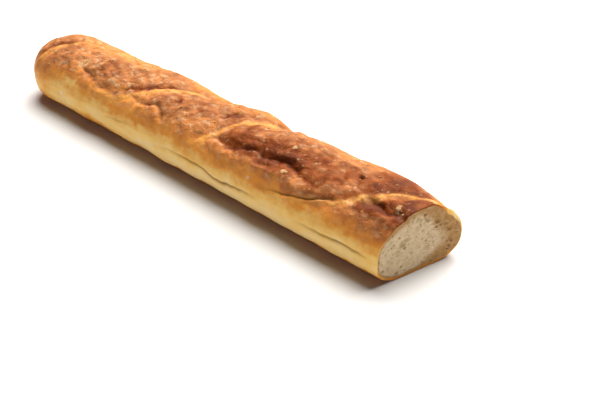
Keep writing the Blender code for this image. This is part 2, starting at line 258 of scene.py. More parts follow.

# Far shoulder of the cut edge: its `over`, its half width and how much thicker the crust is there; that
# wider cut edge is left pale as a painted highlight
SHOULDER_PLACE = -0.033
SHOULDER_WIDTH = 0.0140
SHOULDER_EDGE = 2.5

# Largest pores in the cut face: (across, height, radius, depth)
PORES = (
    (-0.0306, 0.0110, 0.0014, 0.0022),
    (-0.0190, 0.0048, 0.0014, 0.0022),
    (-0.0151, 0.0089, 0.0012, 0.0018),
    (-0.0116, 0.0290, 0.0026, 0.0016),
    (-0.0156, 0.0262, 0.0022, 0.0018),
    (-0.0188, 0.0224, 0.0018, 0.0012),
    (-0.0250, 0.0165, 0.0018, 0.0010),
    (-0.0244, 0.0320, 0.0020, 0.0010),
    (-0.0030, 0.0346, 0.0022, 0.0013),
    (-0.0022, 0.0415, 0.0020, 0.0014),
    (0.0051, 0.0380, 0.0020, 0.0018),
    (0.0055, 0.0167, 0.0022, 0.0012),
    (0.0091, 0.0246, 0.0024, 0.0013),
    (0.0139, 0.0345, 0.0024, 0.0024),
    (0.0198, 0.0187, 0.0020, 0.0013),
    (0.0214, 0.0300, 0.0018, 0.0014),
    (0.0250, 0.0246, 0.0024, 0.0022),
)

# Browning by distance from the crown: (over, how browned), from pale at 0 to burnt at 1
BROWNING = (
    (-0.086, 0.50), (-0.072, 0.42), (-0.060, 0.40), (-0.048, 0.50), (-0.038, 0.47), (-0.024, 0.46),
    (-0.008, 0.50), (0.006, 0.54), (0.016, 0.54), (0.026, 0.47), (0.034, 0.40), (0.040, 0.29),
    (0.046, 0.15), (0.052, 0.08), (0.058, 0.03), (0.064, 0.05), (0.068, 0.30), (0.086, 0.40),
)

# Browning of the rounded end by height above the floor, where it takes over from the table above
END_BROWNING = ((0.0, 0.36), (0.012, 0.26), (0.026, 0.38), (0.040, 0.50))

# Browning of the crust's cut edge by distance from the crown, with a painted highlight where it is pale on
# the far shoulder, from -0.050 to -0.038
RIM_BROWNING_AND_HIGHLIGHT = (
    (-0.086, 0.26), (-0.066, 0.20), (-0.050, 0.06), (-0.038, 0.05), (-0.026, 0.16), (-0.014, 0.58),
    (0.002, 0.68), (0.020, 0.66), (0.032, 0.46), (0.042, 0.16), (0.058, 0.06), (0.064, 0.20),
    (0.086, 0.28),
)

# Places that baked darker or stayed paler, with painted shade along the big lobe's crevice and low at the
# base, and a painted highlight on the far shoulder by the cut: (back, over, half length, half width,
# change)
SCORCHES_AND_PAINTED_LIGHT = (
    # Painted shade in part: these three darken the slope above the big lobe's crevice
    (0.1360, 0.0160, 0.0420, 0.0080, 0.24),
    (0.1080, 0.0160, 0.0120, 0.0060, 0.26),
    (0.1540, 0.0170, 0.0120, 0.0055, 0.08),
    (0.0950, 0.0060, 0.0400, 0.0130, 0.18),
    (0.1120, -0.0040, 0.0400, 0.0120, 0.10),
    (0.0950, 0.0260, 0.0420, 0.0050, 0.16),
    (0.0800, 0.0340, 0.0220, 0.0045, 0.14),
    (0.1450, 0.0245, 0.0300, 0.0045, 0.16),
    (0.0060, -0.0040, 0.0110, 0.0120, 0.28),
    (0.0080, -0.0200, 0.0150, 0.0110, 0.20),
    (0.0060, 0.0150, 0.0130, 0.0140, 0.34),
    (0.0360, 0.0020, 0.0120, 0.0080, 0.14),
    (0.0410, 0.0120, 0.0050, 0.0040, -0.08),
    (0.0310, 0.0180, 0.0110, 0.0078, 0.54),
    (0.0300, 0.0330, 0.0260, 0.0060, 0.09),
    (0.0060, 0.0380, 0.0080, 0.0080, 0.10),
    (0.0320, -0.0160, 0.0180, 0.0160, 0.42),
    (0.0620, -0.0020, 0.0240, 0.0110, 0.10),
    (0.1500, -0.0200, 0.0220, 0.0100, -0.06),
    (0.1825, -0.0015, 0.0060, 0.0042, 0.22),
    (0.1600, 0.0030, 0.0090, 0.0070, 0.22),
    (0.0548, -0.0010, 0.0024, 0.0024, 0.42),
    (0.2322, 0.0085, 0.0021, 0.0018, 0.30),
    (0.2100, 0.0080, 0.0120, 0.0060, 0.07),
    # Painted shade: these two darken the base next to the floor
    (0.3150, 0.0640, 0.0320, 0.0050, 0.20),
    (0.4000, 0.0640, 0.0200, 0.0060, 0.22),
    (0.1600, 0.0640, 0.0600, 0.0050, -0.08),
    (0.3450, 0.0385, 0.0260, 0.0050, -0.15),
    # Painted highlight: these two lighten the far shoulder next to the cut
    (0.0030, -0.0340, 0.0060, 0.0150, -0.30),
    (0.0050, -0.0240, 0.0080, 0.0055, -0.16),
    (0.0680, 0.0395, 0.0160, 0.0030, -0.10),
    (0.2850, 0.0260, 0.0320, 0.0080, -0.12),
    (0.2150, 0.0060, 0.0340, 0.0180, 0.03),
    (0.2400, 0.0100, 0.0120, 0.0080, 0.08),
    (0.3150, 0.0080, 0.0160, 0.0070, 0.07),
    (0.2080, 0.0165, 0.0130, 0.0075, -0.09),
    (0.3400, 0.0240, 0.0120, 0.0050, -0.06),
    (0.3450, -0.0120, 0.0340, 0.0140, -0.12),
    (0.2900, 0.0080, 0.0660, 0.0150, 0.075),
    (0.2060, 0.0080, 0.0120, 0.0130, 0.10),
    (0.1480, 0.0265, 0.0200, 0.0050, 0.10),
    (0.0850, 0.0200, 0.0120, 0.0080, 0.08),
    (0.0620, 0.0140, 0.0080, 0.0060, 0.07),
    (0.0340, 0.0150, 0.0070, 0.0040, 0.24),
    (0.2600, 0.0080, 0.0090, 0.0050, -0.24),
    (0.2100, 0.0240, 0.0100, 0.0060, 0.06),
    (0.0120, 0.0560, 0.0200, 0.0110, 0.05),
    (0.1850, 0.0145, 0.0060, 0.0060, -0.14),
    (0.3600, 0.0140, 0.0100, 0.0060, -0.07),
    (0.3350, 0.0140, 0.0080, 0.0060, 0.06),
    (0.4100, 0.0000, 0.0100, 0.0060, 0.12),
    (0.3840, 0.0030, 0.0100, 0.0040, 0.22),
    (0.3935, 0.0170, 0.0050, 0.0130, -0.18),
    (0.3800, 0.0200, 0.0200, 0.0120, 0.08),
    (0.3960, 0.0280, 0.0160, 0.0140, 0.10),
    (0.3880, 0.0520, 0.0260, 0.0110, 0.11),
    (0.2400, -0.0240, 0.0200, 0.0120, -0.12),
    (0.2620, -0.0140, 0.0160, 0.0090, 0.10),
)

# Flour left on the crust: (back, over, half length, half width, amount)
FLOUR = (
    (0.3600, 0.0520, 0.0030, 0.0022, 1.1),
    (0.1300, 0.0400, 0.0016, 0.0016, 1.2),
    (0.3150, 0.0370, 0.0034, 0.0026, 0.6),
    (0.1140, 0.0030, 0.0020, 0.0016, 0.9),
    (0.1040, 0.0250, 0.0034, 0.0026, 0.7),
    (0.0360, 0.0310, 0.0090, 0.0060, 0.34),
    (0.0240, 0.0370, 0.0050, 0.0040, 0.40),
    (0.0116, 0.0106, 0.0044, 0.0046, 0.58),
    (0.0440, 0.0230, 0.0050, 0.0030, 0.50),
    (0.3750, 0.0140, 0.0180, 0.0120, 0.30),
    (0.3840, 0.0320, 0.0120, 0.0100, 0.26),
    (0.3480, 0.0200, 0.0070, 0.0040, 0.50),
    (0.3400, 0.0100, 0.0140, 0.0080, 0.24),
    (0.3000, 0.0140, 0.0300, 0.0120, 0.18),
    (0.2500, 0.0340, 0.0160, 0.0080, 0.16),
    (0.2400, 0.0060, 0.0100, 0.0060, 0.22),
    (0.0900, 0.0060, 0.0500, 0.0140, 0.16),
    (0.1300, -0.0190, 0.0320, 0.0070, 0.20),
    (0.3450, 0.0150, 0.0160, 0.0070, 0.20),
    (0.0500, -0.0060, 0.0200, 0.0100, 0.20),
)

# ---------------------------------------------------------------------------------------------
# Sizes and colours that a user would change
# ---------------------------------------------------------------------------------------------


def colour_property(name, description, default):
    return FloatVectorProperty(name=name, description=description, default=default,
                               subtype="COLOR", size=3, min=0.0, max=1.0)


def length_property(name, description, default, low, high):
    return FloatProperty(name=name, description=description, default=default, min=low, max=high,
                         unit="LENGTH", precision=5)


class CrustSettings(bpy.types.PropertyGroup):
    station_step: length_property("Station step", "Distance between rows of the crust's mesh",
                                  0.00098, 0.0004, 0.01)
    column_step: length_property("Column step", "Distance between points round the girth",
                                 0.00088, 0.0004, 0.01)
    thickness: length_property("Crust thickness", "Thickness of the crust where the cut shows it",
                               0.0010, 0.0005, 0.005)
    recess: length_property("Recess", "Depth of the hollow that holds the crumb", 0.0060, 0.002, 0.03)
    cream: colour_property("Cream skin", "Colour of the palest skin, near the base",
                           (1.0, 0.72, 0.315))
    pale: colour_property("Pale skin", "Colour low on the sides", (0.97, 0.59, 0.155))
    golden: colour_property("Golden skin", "Colour of lightly baked skin", (0.84, 0.315, 0.036))
    toasted: colour_property("Toasted skin", "Colour of well baked skin", (0.565, 0.156, 0.013))
    brown: colour_property("Brown crust", "Colour of the swollen lobes", (0.258, 0.053, 0.0045))
    # The crevices reach this colour partly through painted shade
    burnt: colour_property("Burnt crust", "Colour deep in the crevices", (0.092, 0.011, 0.001))
    dusty: colour_property("Dusty crust", "Colour of the pale patches on the lobes",
                           (0.58, 0.355, 0.185))
    strip: colour_property("Strip", "Colour of the smooth skin between slashes", (0.84, 0.40, 0.088))
    welt: colour_property("Welt", "Colour of the raised line along each strip", (0.88, 0.50, 0.15))
    # Painted shade: the dark colour along the thin creases
    crease_shade: colour_property("Crease", "Colour in the thin creases", (0.21, 0.080, 0.012))
    rim: colour_property("Rim", "Colour of the crust's cut edge", (0.56, 0.32, 0.12))
    flour: colour_property("Flour", "Colour of the flour baked on to brown crust", (0.66, 0.42, 0.20))
    raw_flour: colour_property("Raw flour", "Colour of the flour on pale skin", (0.94, 0.80, 0.66))
    sheen: colour_property("Sheen", "Tint of the crust's faint shine", (1.0, 0.62, 0.36))


class CrumbSettings(bpy.types.PropertyGroup):
    columns: IntProperty(name="Columns", description="Points round the crumb's edge",
                         default=600, min=60, max=1200)
    rings: IntProperty(name="Rings", description="Rings of points from the edge to the middle",
                       default=125, min=20, max=300)
    depth: length_property("Plug depth", "How deep the crumb reaches into the crust",
                           0.0050, 0.002, 0.02)
    press: length_property("Press", "How far the crumb presses into the crust", 0.00015, 0.0, 0.001)
    pores: IntProperty(name="Pores", description="Number of small pores in the cut face",
                       default=900, min=0, max=5000)
    seed: IntProperty(name="Seed", description="Seed of the pores' places", default=11, min=0)
    colour: colour_property("Crumb", "Colour of the crumb", (0.80, 0.615, 0.385))
    deep: colour_property("Dense crumb", "Colour of the denser crumb", (0.69, 0.49, 0.28))
    # Painted shade in the crumb's holes and cells
    shade: colour_property("Pore walls", "Colour inside the pores", (0.46, 0.31, 0.13))
    # Painted shade at the bottom of the pores
    hollow: colour_property("Deep pores", "Colour at the bottom of the pores", (0.26, 0.155, 0.045))
    # On the far side of the cut face this colour is also painted shade
    edge: colour_property("Crumb by the crust", "Colour of the crumb next to the crust",
                          (0.47, 0.235, 0.068))


class FleckSettings(bpy.types.PropertyGroup):
    flour_density: FloatProperty(name="Flour density", description="Flour lumps on each square metre",
                                 default=8000.0, min=0.0, max=2000000.0)
    flour_size: length_property("Flour lump", "Width of a flour lump", 0.0014, 0.0002, 0.004)
    flour: colour_property("Flour", "Colour of the flour lumps", (0.58, 0.39, 0.20))
    flour_shade: colour_property("Flour in shade", "Darker colour of the lumps", (0.44, 0.26, 0.11))
    bit_density: FloatProperty(name="Bit density", description="Browned bits on each square metre",
                               default=4500.0, min=0.0, max=2000000.0)
    bit_size: length_property("Browned bit", "Width of a browned bit", 0.0013, 0.0002, 0.004)
    bit: colour_property("Browned bit", "Colour of the browned bits", (0.52, 0.28, 0.11))
    bit_shade: colour_property("Dark bit", "Darker colour of the bits", (0.38, 0.16, 0.05))
    seed: IntProperty(name="Seed", description="Seed of the flecks' places", default=5, min=0)


class StudioSettings(bpy.types.PropertyGroup):
    floor_size: length_property("Floor size", "Width of the floor", 8.0, 1.0, 40.0)
    floor_colour: colour_property("Floor", "Colour of the floor", (0.72, 0.72, 0.72))
    key_strength: FloatProperty(name="Key light", description="Strength of the high soft light",
                                default=7.5, min=0.0, max=50.0)
    key_softness: FloatProperty(name="Key softness", description="Width of the key light, in degrees",
                                default=56.0, min=0.0, max=90.0)
    key_colour: colour_property("Key colour", "Colour of the key light", (1.0, 0.97, 0.93))
    key_from: FloatVectorProperty(name="Key place", description="Where the key light shines from",
                                  default=(-0.34, 0.90, 1.5), size=3, subtype="TRANSLATION")
    fill_power: FloatProperty(name="Fill light", description="Power of the low soft light",
                              default=2.9, min=0.0, max=500.0, subtype="POWER")
    fill_from: FloatVectorProperty(name="Fill place", description="Where the fill light shines from",
                                   default=(0.05, -1.6, 0.30), size=3, subtype="TRANSLATION")
    sky: FloatProperty(name="Surroundings", description="Brightness of the white surroundings",
                       default=0.03, min=0.0, max=5.0)
    lens: FloatProperty(name="Lens", description="Focal length of the camera, in millimetres",
                        default=62.80, min=10.0, max=300.0)


# ---------------------------------------------------------------------------------------------
# The loaf's form
# ---------------------------------------------------------------------------------------------


def smooth_step(value):
    value = np.clip(value, 0.0, 1.0)
    return value * value * (3.0 - 2.0 * value)


def signed_power(value, power):
    return np.sign(value) * np.abs(value) ** power


def eased(table, places):
    """Value of a table of (place, value) pairs, eased between them."""
    stops = np.array([stop for stop, value in table])
    values = np.array([value for stop, value in table])
    index = np.clip(np.searchsorted(stops, places, side="right") - 1, 0, len(stops) - 2)
    span = (places - stops[index]) / (stops[index + 1] - stops[index])
    return values[index] + (values[index + 1] - values[index]) * smooth_step(span)


def section(angle, width, height):
    """Point of a section at an angle from the crown, positive down the -Y side."""
    sine = np.sin(angle)
    cosine = np.cos(angle)
    power = np.where(cosine >= 0.0, TOP_ROUNDING, BASE_ROUNDING)
    reach = np.where(cosine >= 0.0, 1.0 - WIDEST_HEIGHT, WIDEST_HEIGHT)
    across = -signed_power(sine, power) * width / 2.0
    rise = (WIDEST_HEIGHT + reach * signed_power(cosine, power)) * (height + BASE_FLAT)
    return across, np.maximum(rise - BASE_FLAT, 0.0)


GIRTH_SAMPLES = 4001           # points on the section by which its girth is measured
SIDE_REACH = 0.086             # `over` up to which the columns are close together
BASE_STEP = 0.0032             # distance between them on the flat base
END_ROWS = 1.5                 # rows on the rounded end for each step of its depth


def girth_columns(step):
    """Angles round the section and their distances from the crown, sparse on the flat base."""
    angle = np.linspace(-np.pi, np.pi, GIRTH_SAMPLES)
    across, rise = section(angle, WIDTH, HEIGHT)
    walked = np.concatenate(([0.0], np.cumsum(np.hypot(np.diff(across), np.diff(rise)))))
    over = walked - walked[-1] / 2.0
    sides = np.linspace(-SIDE_REACH, SIDE_REACH, int(2.0 * SIDE_REACH / step))
    base = np.arange(SIDE_REACH + BASE_STEP, over[-1], BASE_STEP)
    places = np.concatenate((-base[::-1], sides, base))
    return np.interp(places, over, angle), places


def curve_through(path, steps=8):
    """Catmull-Rom curve through the rows of a path."""
    rows = np.array(path)
    rows = np.vstack((2.0 * rows[0] - rows[1], rows, 2.0 * rows[-1] - rows[-2]))
    curve = []
    for start in range(1, len(rows) - 2):
        before, here, there, after = rows[start - 1:start + 3]
        for share in np.arange(steps) / steps:
            curve.append(0.5 * (2.0 * here + (there - before) * share
                                + (2.0 * before - 5.0 * here + 4.0 * there - after) * share ** 2
                                + (3.0 * here - before - 3.0 * there + after) * share ** 3))
    curve.append(rows[-2])
    return np.array(curve)


def along(path, back, over):
    """Distance of each crust point from a path, and the path's height beside it."""
    nearest = np.full(back.shape, 1.0)
    height = np.zeros(back.shape)
    curve = curve_through(path)
    for first, second in zip(curve[:-1], curve[1:]):
        step = second - first
        reach = step[0] ** 2 + step[1] ** 2 + 1e-12
        share = ((back - first[0]) * step[0] + (over - first[1]) * step[1]) / reach
        share = np.clip(share, 0.0, 1.0)
        distance = np.hypot(back - first[0] - share * step[0], over - first[1] - share * step[1])
        closer = distance < nearest
        nearest = np.where(closer, distance, nearest)
        height = np.where(closer, first[2] + share * step[2], height)
    return nearest, height


class Paths:
    """Distances from one kind of path, worked out once and used for form and colour."""

    def __init__(self, paths, back, over):
        self.found = [along(path, back, over) for path in paths]

    def ridge(self, width):
        """Height of soft-sided ridges that follow the paths."""
        return np.max([height * np.exp(-(distance / width) ** 2)
                       for distance, height in self.found], axis=0)

    def near(self, width, full=PATH_FULL):
        """Nearness, from 0 to 1, to the stretches of the paths that reach their full height."""
        return np.max([np.clip(height / full, 0.0, 1.0) * np.exp(-(distance / width) ** 2)
                       for distance, height in self.found], axis=0)

    def nearest(self):
        return np.min([distance for distance, height in self.found], axis=0)


def rough(points, size, seed):
    """Smooth noise between about -1 and 1, with lumps of a size, at each point."""
    shift = Vector((seed * 3.1, seed * 7.3, seed * 1.7))
    flat = (points / size).reshape(-1, 3).tolist()
    values = [noise.noise(Vector(point) + shift) for point in flat]
    return np.array(values).reshape(points.shape[:-1])


def spots(table, back, over):
    """Sum of soft round or oval spots: (back, over, half length, half width, height)."""
    total = np.zeros(back.shape)
    for place, round_girth, half_length, half_width, height in table:
        total += height * np.exp(-((back - place) / half_length) ** 2
                                 - ((over - round_girth) / half_width) ** 2)
    return total


class CrustField:
    """What the crust is like at each of its points: its height and how it is coloured."""

    def __init__(self, back, over, points):
        plain_back = back
        plain_over = over
        for number, (size, reach) in enumerate(WANDER):
            seed = SEEDS["wander"] + 2 * number
            back = back + reach * rough(points, size, seed)
            over = over + reach * rough(points, size, seed + 1)
        strips = Paths(STRIPS, back, over)
        crevices = Paths(CREVICES, back, over)
        creases = Paths(CREASES, (1.0 - CREASE_WANDER) * plain_back + CREASE_WANDER * back,
                        (1.0 - CREASE_WANDER) * plain_over + CREASE_WANDER * over)
        craggy = smooth_step((over - CRAG_START) / CRAG_FADE) * smooth_step((CRAG_STOP - over) / CRAG_FADE)
        lumps = rough(points, LUMP_SIZE, SEEDS["lumps"])
        crags = rough(points, CRAG_SIZE, SEEDS["crags"])

        strip = strips.near(STRIP_LINE)
        far_side = smooth_step((over - OPEN_START) / OPEN_FADE)
        opened = craggy * (1.0 - STRIP_CLOSES * strip) * (OPEN_LEAST + (1.0 - OPEN_LEAST) * far_side)
        crack = np.abs(rough(points, CRACK_SIZE, SEEDS["cracks"])) / CRACK_SHARE
        crack = np.clip(1.0 - crack, 0.0, 1.0) * opened

        relief = Paths(LOBES, back, over).ridge(LOBE_WIDTH) - strips.ridge(STRIP_WIDTH)
        relief += STRIP_WELT * np.exp(-(strips.nearest() / STRIP_WELT_WIDTH) ** 2)
        relief += Paths(LIPS, back, over).ridge(LIP_WIDTH)
        relief -= crevices.ridge(CREVICE_WIDTH) + creases.ridge(CREASE_WIDTH)
        blisters = [(place, round_girth, radius, radius, depth)
                    for place, round_girth, radius, depth in BLISTERS]
        relief -= spots(blisters, back, over) + spots(SAGS, plain_back, plain_over)
        relief += LUMP_HEIGHT * lumps + CRAG_HEIGHT * craggy * crags - CRACK_DEPTH * crack
        for number, (size, on_skin, on_dough) in enumerate(GRAIN):
            grain = rough(points, size, SEEDS["grain"] + number)
            relief += (on_skin + (on_dough - on_skin) * opened) * grain
        self.relief = relief * smooth_step((UNDERSIDE - np.abs(over)) / UNDERSIDE_FADE)

        shaded = Paths(STRIPS, back - SHADE_OFFSET, over + SHADE_OFFSET).near(SHADE_LINE)
        # Browning round the crevices, partly painted shade in them
        crevice = crevices.ridge(CREVICE_GLOW) / CREVICE_FULL
        calm = CALM * smooth_step((over - CALM_START) / CALM_FADE)
        ragged = over.copy()
        for number, (size, reach) in enumerate(RAGGED):
            ragged += (1.0 - calm) * reach * rough(points, size, SEEDS["browning"] + number)
        into_end = (plain_back - (LENGTH - END_DEPTH)) / END_DEPTH
        round_end = smooth_step((into_end - ROUND_START) / ROUND_FADE)

        browned = eased(BROWNING, ragged) * (1.0 - round_end)
        browned += eased(END_BROWNING, points[..., 2]) * round_end + spots(SCORCHES_AND_PAINTED_LIGHT, back, over)
        browned += BLOTCH_BROWNS * (1.0 - calm) * rough(points, BLOTCH_SIZE, SEEDS["blotches"])
        browned += LUMP_BROWNS * lumps + CRAG_BROWNS * crags * craggy + CRACK_BROWNS * crack
        broken = CREVICE_SHOWN + CREVICE_VARIES * rough(points, CREVICE_PATCH, SEEDS["crevices"])
        browned += CREVICE_BROWNS_AND_SHADE * np.clip(crevice * broken, 0.0, 1.0)
        browned += CREVICE_LINE_BROWNS_AND_SHADE * crevices.near(CREVICE_LINE)
        browned += SHADE_BROWNS * shaded * smooth_step((SHADE_STOP - over) / SHADE_STOP_FADE)
        self.browned = np.clip(browned, 0.0, 1.0)

        broken = STRIP_SHOWN + STRIP_VARIES * rough(points, STRIP_PATCH, SEEDS["strips"])
        strip = strip * np.clip(broken, 0.0, 1.0)
        strip *= np.clip(1.0 - spots(STRIP_FADES, back, over), 0.0, 1.0)
        strip *= (1.0 - crevice) * (1.0 - SHADE_HIDES * shaded)
        strip = np.clip(strip, 0.0, 1.0) * smooth_step((STRIP_STOP - np.abs(over)) / STRIP_STOP_FADE)
        self.strip = strip
        self.welt = strip * np.exp(-(strips.nearest() / STRIP_WELT_WIDTH) ** 2)
        lively = smooth_step((over - LIVELY_START) / LIVELY_RISE)
        lively *= smooth_step((LIVELY_STOP - over) / LIVELY_FALL)
        self.lively = lively + (LIVELY_END - lively) * round_end
        self.opened = np.clip(opened * (1.0 - crevice) * (1.0 - round_end), 0.0, 1.0)
        # Where the creases' painted shade goes
        self.crease_shade = creases.near(CREASE_WIDTH)
        self.flour = np.clip(spots(FLOUR, plain_back, plain_over), 0.0, MOST_FLOUR)


def station_backs(step):
    """Distances back from the cut face, closer together on the rounded end."""
    body = np.arange(0.0, LENGTH - END_DEPTH, step)
    turn = np.linspace(0.0, np.pi / 2.0, int(END_ROWS * END_DEPTH / step))
    return np.concatenate((body, LENGTH - END_DEPTH + END_DEPTH * np.sin(turn)[:-1]))


def outward_of(plain):
    """Unit normals of a grid of points whose rows are closed sections."""
    by_station = np.gradient(plain, axis=0)
    by_girth = np.roll(plain, -1, axis=1) - np.roll(plain, 1, axis=1)
    normal = np.cross(by_station, by_girth)
    return normal / np.maximum(np.linalg.norm(normal, axis=-1, keepdims=True), 1e-12)


def cut_plane(across):
    return LENGTH / 2.0 + CUT_SKEW * across


def crust_grid(backs, angles, overs):
    """Crust points, one row for each station from the cut face to the rounded end, and their field."""
    back, angle = np.meshgrid(backs, angles, indexing="ij")
    over = np.broadcast_to(overs, back.shape)
    share = eased(GIRTH, back)
    into_end = np.clip((back - (LENGTH - END_DEPTH)) / END_DEPTH, 0.0, 1.0)
    rounding = np.sqrt(1.0 - into_end ** END_BLUNTNESS)
    across, rise = section(angle, WIDTH * share, HEIGHT * share)
    centre = END_CENTRE * HEIGHT * share
    across = across * rounding
    rise = centre + (rise - centre) * rounding
    near_cut = smooth_step(1.0 - back / CUT_FADE)
    along_x = LENGTH / 2.0 - back + CUT_SKEW * across * near_cut
    plain = np.stack((along_x, across, rise), axis=-1)
    field = CrustField(LENGTH / 2.0 - along_x, over, plain)
    lifted = plain + outward_of(plain) * (field.relief * rounding)[..., None]
    lifted[0, :, 0] = cut_plane(lifted[0, :, 1])
    lifted[..., 2] = np.maximum(lifted[..., 2], 0.0)
    return lifted, field


def centring(points):
    """Move that brings the middle of the loaf's box over the origin, on the floor."""
    middle = (points.min(axis=(0, 1)) + points.max(axis=(0, 1))) / 2.0
    return np.array((-middle[0], -middle[1], -points[..., 2].min()))


@functools.lru_cache(maxsize=2)
def loaf(station_step, column_step):
    """The crust's points and field at a mesh size, moved over the origin."""
    angles, overs = girth_columns(column_step)
    points, field = crust_grid(station_backs(station_step), angles, overs)
    move = centring(points)
    tip = np.array((-LENGTH / 2.0, 0.0, END_CENTRE * HEIGHT * GIRTH[-1][1])) + move
    return points + move, field, overs, tip, move


PALE_START = 0.038             # `over` at which the pale skin low on the -Y side starts and stops
PALE_FADE = 0.008
PALE_STOP = 0.066
PALE_STOP_FADE = 0.006
EDGE_SMOOTHING = 4             # passes that smooth the direction of the cut's outline
EDGE_PATCH = 0.004             # size of the places where the cut crust is thicker or thinner
EDGE_VARIES = 0.28
LOW_START = 0.060              # `over` from which the crust thickens towards its base
LOW_FADE = 0.012
LOW_THICKER = 1.2


def on_shoulder(overs):
    """1 on the far shoulder of the cut edge, where the crust bends over the crumb, and 0 away from it."""
    return np.exp(-((overs - SHOULDER_PLACE) / SHOULDER_WIDTH) ** 2)


def on_pale_side(overs):
    """1 low on the -Y side, where the skin is pale right up to the cut."""
    start = smooth_step((overs - PALE_START) / PALE_FADE)
    return start * smooth_step((PALE_STOP - overs) / PALE_STOP_FADE)


def inset_edge(outline, overs, thickness):
    """Inner edge of the crust at the cut: the outline moved in by a thickness that wanders."""
    flat = outline[:, 1:]
    run = np.roll(flat, -2, axis=0) - np.roll(flat, 2, axis=0)
    for _ in range(EDGE_SMOOTHING):
        run = (np.roll(run, 1, axis=0) + 2.0 * run + np.roll(run, -1, axis=0)) / 4.0
    run /= np.linalg.norm(run, axis=1, keepdims=True)
    inward = np.stack((-run[:, 1], run[:, 0]), axis=1)
    middle = flat.mean(axis=0)
    if np.mean(np.sum(inward * (middle - flat), axis=1)) < 0.0:
        inward = -inward
    wander = 1.0 + EDGE_VARIES * rough(outline, EDGE_PATCH, SEEDS["cut edge"])
    low = smooth_step((np.abs(overs) - LOW_START) / LOW_FADE)
    reach = thickness * wander * (1.0 + LOW_THICKER * low + SHOULDER_EDGE * on_shoulder(overs))
    edge = flat + inward * reach[:, None]
    return np.column_stack((outline[:, 0], edge))


def on_cut(points, move):
    """The points slid along the loaf on to the plane of the cut."""
    slid = points.copy()
    slid[..., 0] = cut_plane(slid[..., 1] - move[1]) + move[0]
    return slid


# ---------------------------------------------------------------------------------------------
# Meshes
# ---------------------------------------------------------------------------------------------


def joined_rows(rows, columns):
    """Faces between neighbouring rows of a tube, each row closed on itself."""
    first = (np.arange(rows - 1) * columns)[:, None]
    column = np.arange(columns)
    following = (column + 1) % columns
    quads = np.stack((first + column, first + following, first + columns + following,
                      first + columns + column), axis=-1)
    return quads.reshape(-1, 4).tolist()


def fan(row_start, columns, middle, turned):
    """Triangles from a closed row of points to a middle point."""
    column = np.arange(columns)
    pair = (row_start + column, row_start + (column + 1) % columns)
    if turned:
        pair = pair[::-1]
    return np.stack((np.full(columns, middle),) + pair, axis=-1).tolist()


def closed_tube(name, rows, first_middle, last_middle):
    """Mesh of rows of points, closed by a point at each end, with its faces outward."""
    count, columns = rows.shape[:2]
    points = np.concatenate((rows.reshape(-1, 3), [first_middle, last_middle]))
    faces = joined_rows(count, columns)
    faces += fan(0, columns, count * columns, True)
    faces += fan((count - 1) * columns, columns, count * columns + 1, False)
    mesh = bpy.data.meshes.new(name)
    mesh.from_pydata(points.tolist(), [], faces)
    mesh.update()
    work = bmesh.new()
    work.from_mesh(mesh)
    bmesh.ops.recalc_face_normals(work, faces=work.faces)
    if work.calc_volume(signed=True) < 0.0:
        bmesh.ops.reverse_faces(work, faces=work.faces)
    work.to_mesh(mesh)
    work.free()
    mesh.shade_smooth()
    return mesh


def write_attribute(mesh, name, behind, shown):
    """Gives each point of a tube a value: rows behind the cut, rows that show, and 0 at its two ends."""
    values = np.concatenate((behind.ravel(), shown.ravel(), np.zeros(2)))
    layer = mesh.attributes.new(name, "FLOAT", "POINT")
    layer.data.foreach_set("value", values.astype(np.float32))


def corner_points(mesh):
    """Number of the point at each corner of each face."""
    corners = np.zeros(len(mesh.loops), dtype=np.int32)
    mesh.loops.foreach_get("vertex_index", corners)
    return corners


def corner_faces(mesh):
    """Number of the face that each corner belongs to."""
    starts = np.zeros(len(mesh.polygons), dtype=np.int32)
    totals = np.zeros(len(mesh.polygons), dtype=np.int32)
    mesh.polygons.foreach_get("loop_start", starts)
    mesh.polygons.foreach_get("loop_total", totals)
    order = np.argsort(np.repeat(starts, totals), kind="stable")
    return np.repeat(np.arange(len(totals)), totals)[order]


def write_map(mesh, places):
    """Gives each corner of each face its place in the UV map."""
    layer = mesh.uv_layers.new(name="OFBake")
    layer.data.foreach_set("uv", places.astype(np.float32).ravel())


def new_piece(name, mesh):
    """Object for a finished mesh, linked to the scene, riding on the loaf's body."""
    piece = bpy.data.objects.new(name, mesh)
    bpy.context.scene.collection.objects.link(piece)
    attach(piece, BODY)
    return piece


MAP_EDGE = 0.01            # margin round the UV maps
MAP_HALF = 0.50            # place at which the second half of the crust starts
MAP_HALF_WIDTH = 0.48
MAP_CRUST_HEIGHT = 0.86
MAP_RIM_WIDTH = 0.98
MAP_RIM_START = 0.88
MAP_RIM_HEIGHT = 0.10


def columns_past_seam(column, columns, pole, face_of):
    """Column of each corner, counted on past the seam in a face that crosses it, or beside a pole."""
    count = face_of.max() + 1
    most = np.zeros(count, dtype=np.int64)
    np.maximum.at(most, face_of, np.where(pole, 0, column))
    least = np.full(count, columns)
    np.minimum.at(least, face_of, np.where(pole, columns, column))
    crosses = most - least > columns // 2
    counted_on = np.where(crosses[face_of] & (column < columns // 2), column + columns, column)
    beside_pole = np.where(crosses, columns, least)[face_of] + 0.5
    return np.where(pole, beside_pole, counted_on)


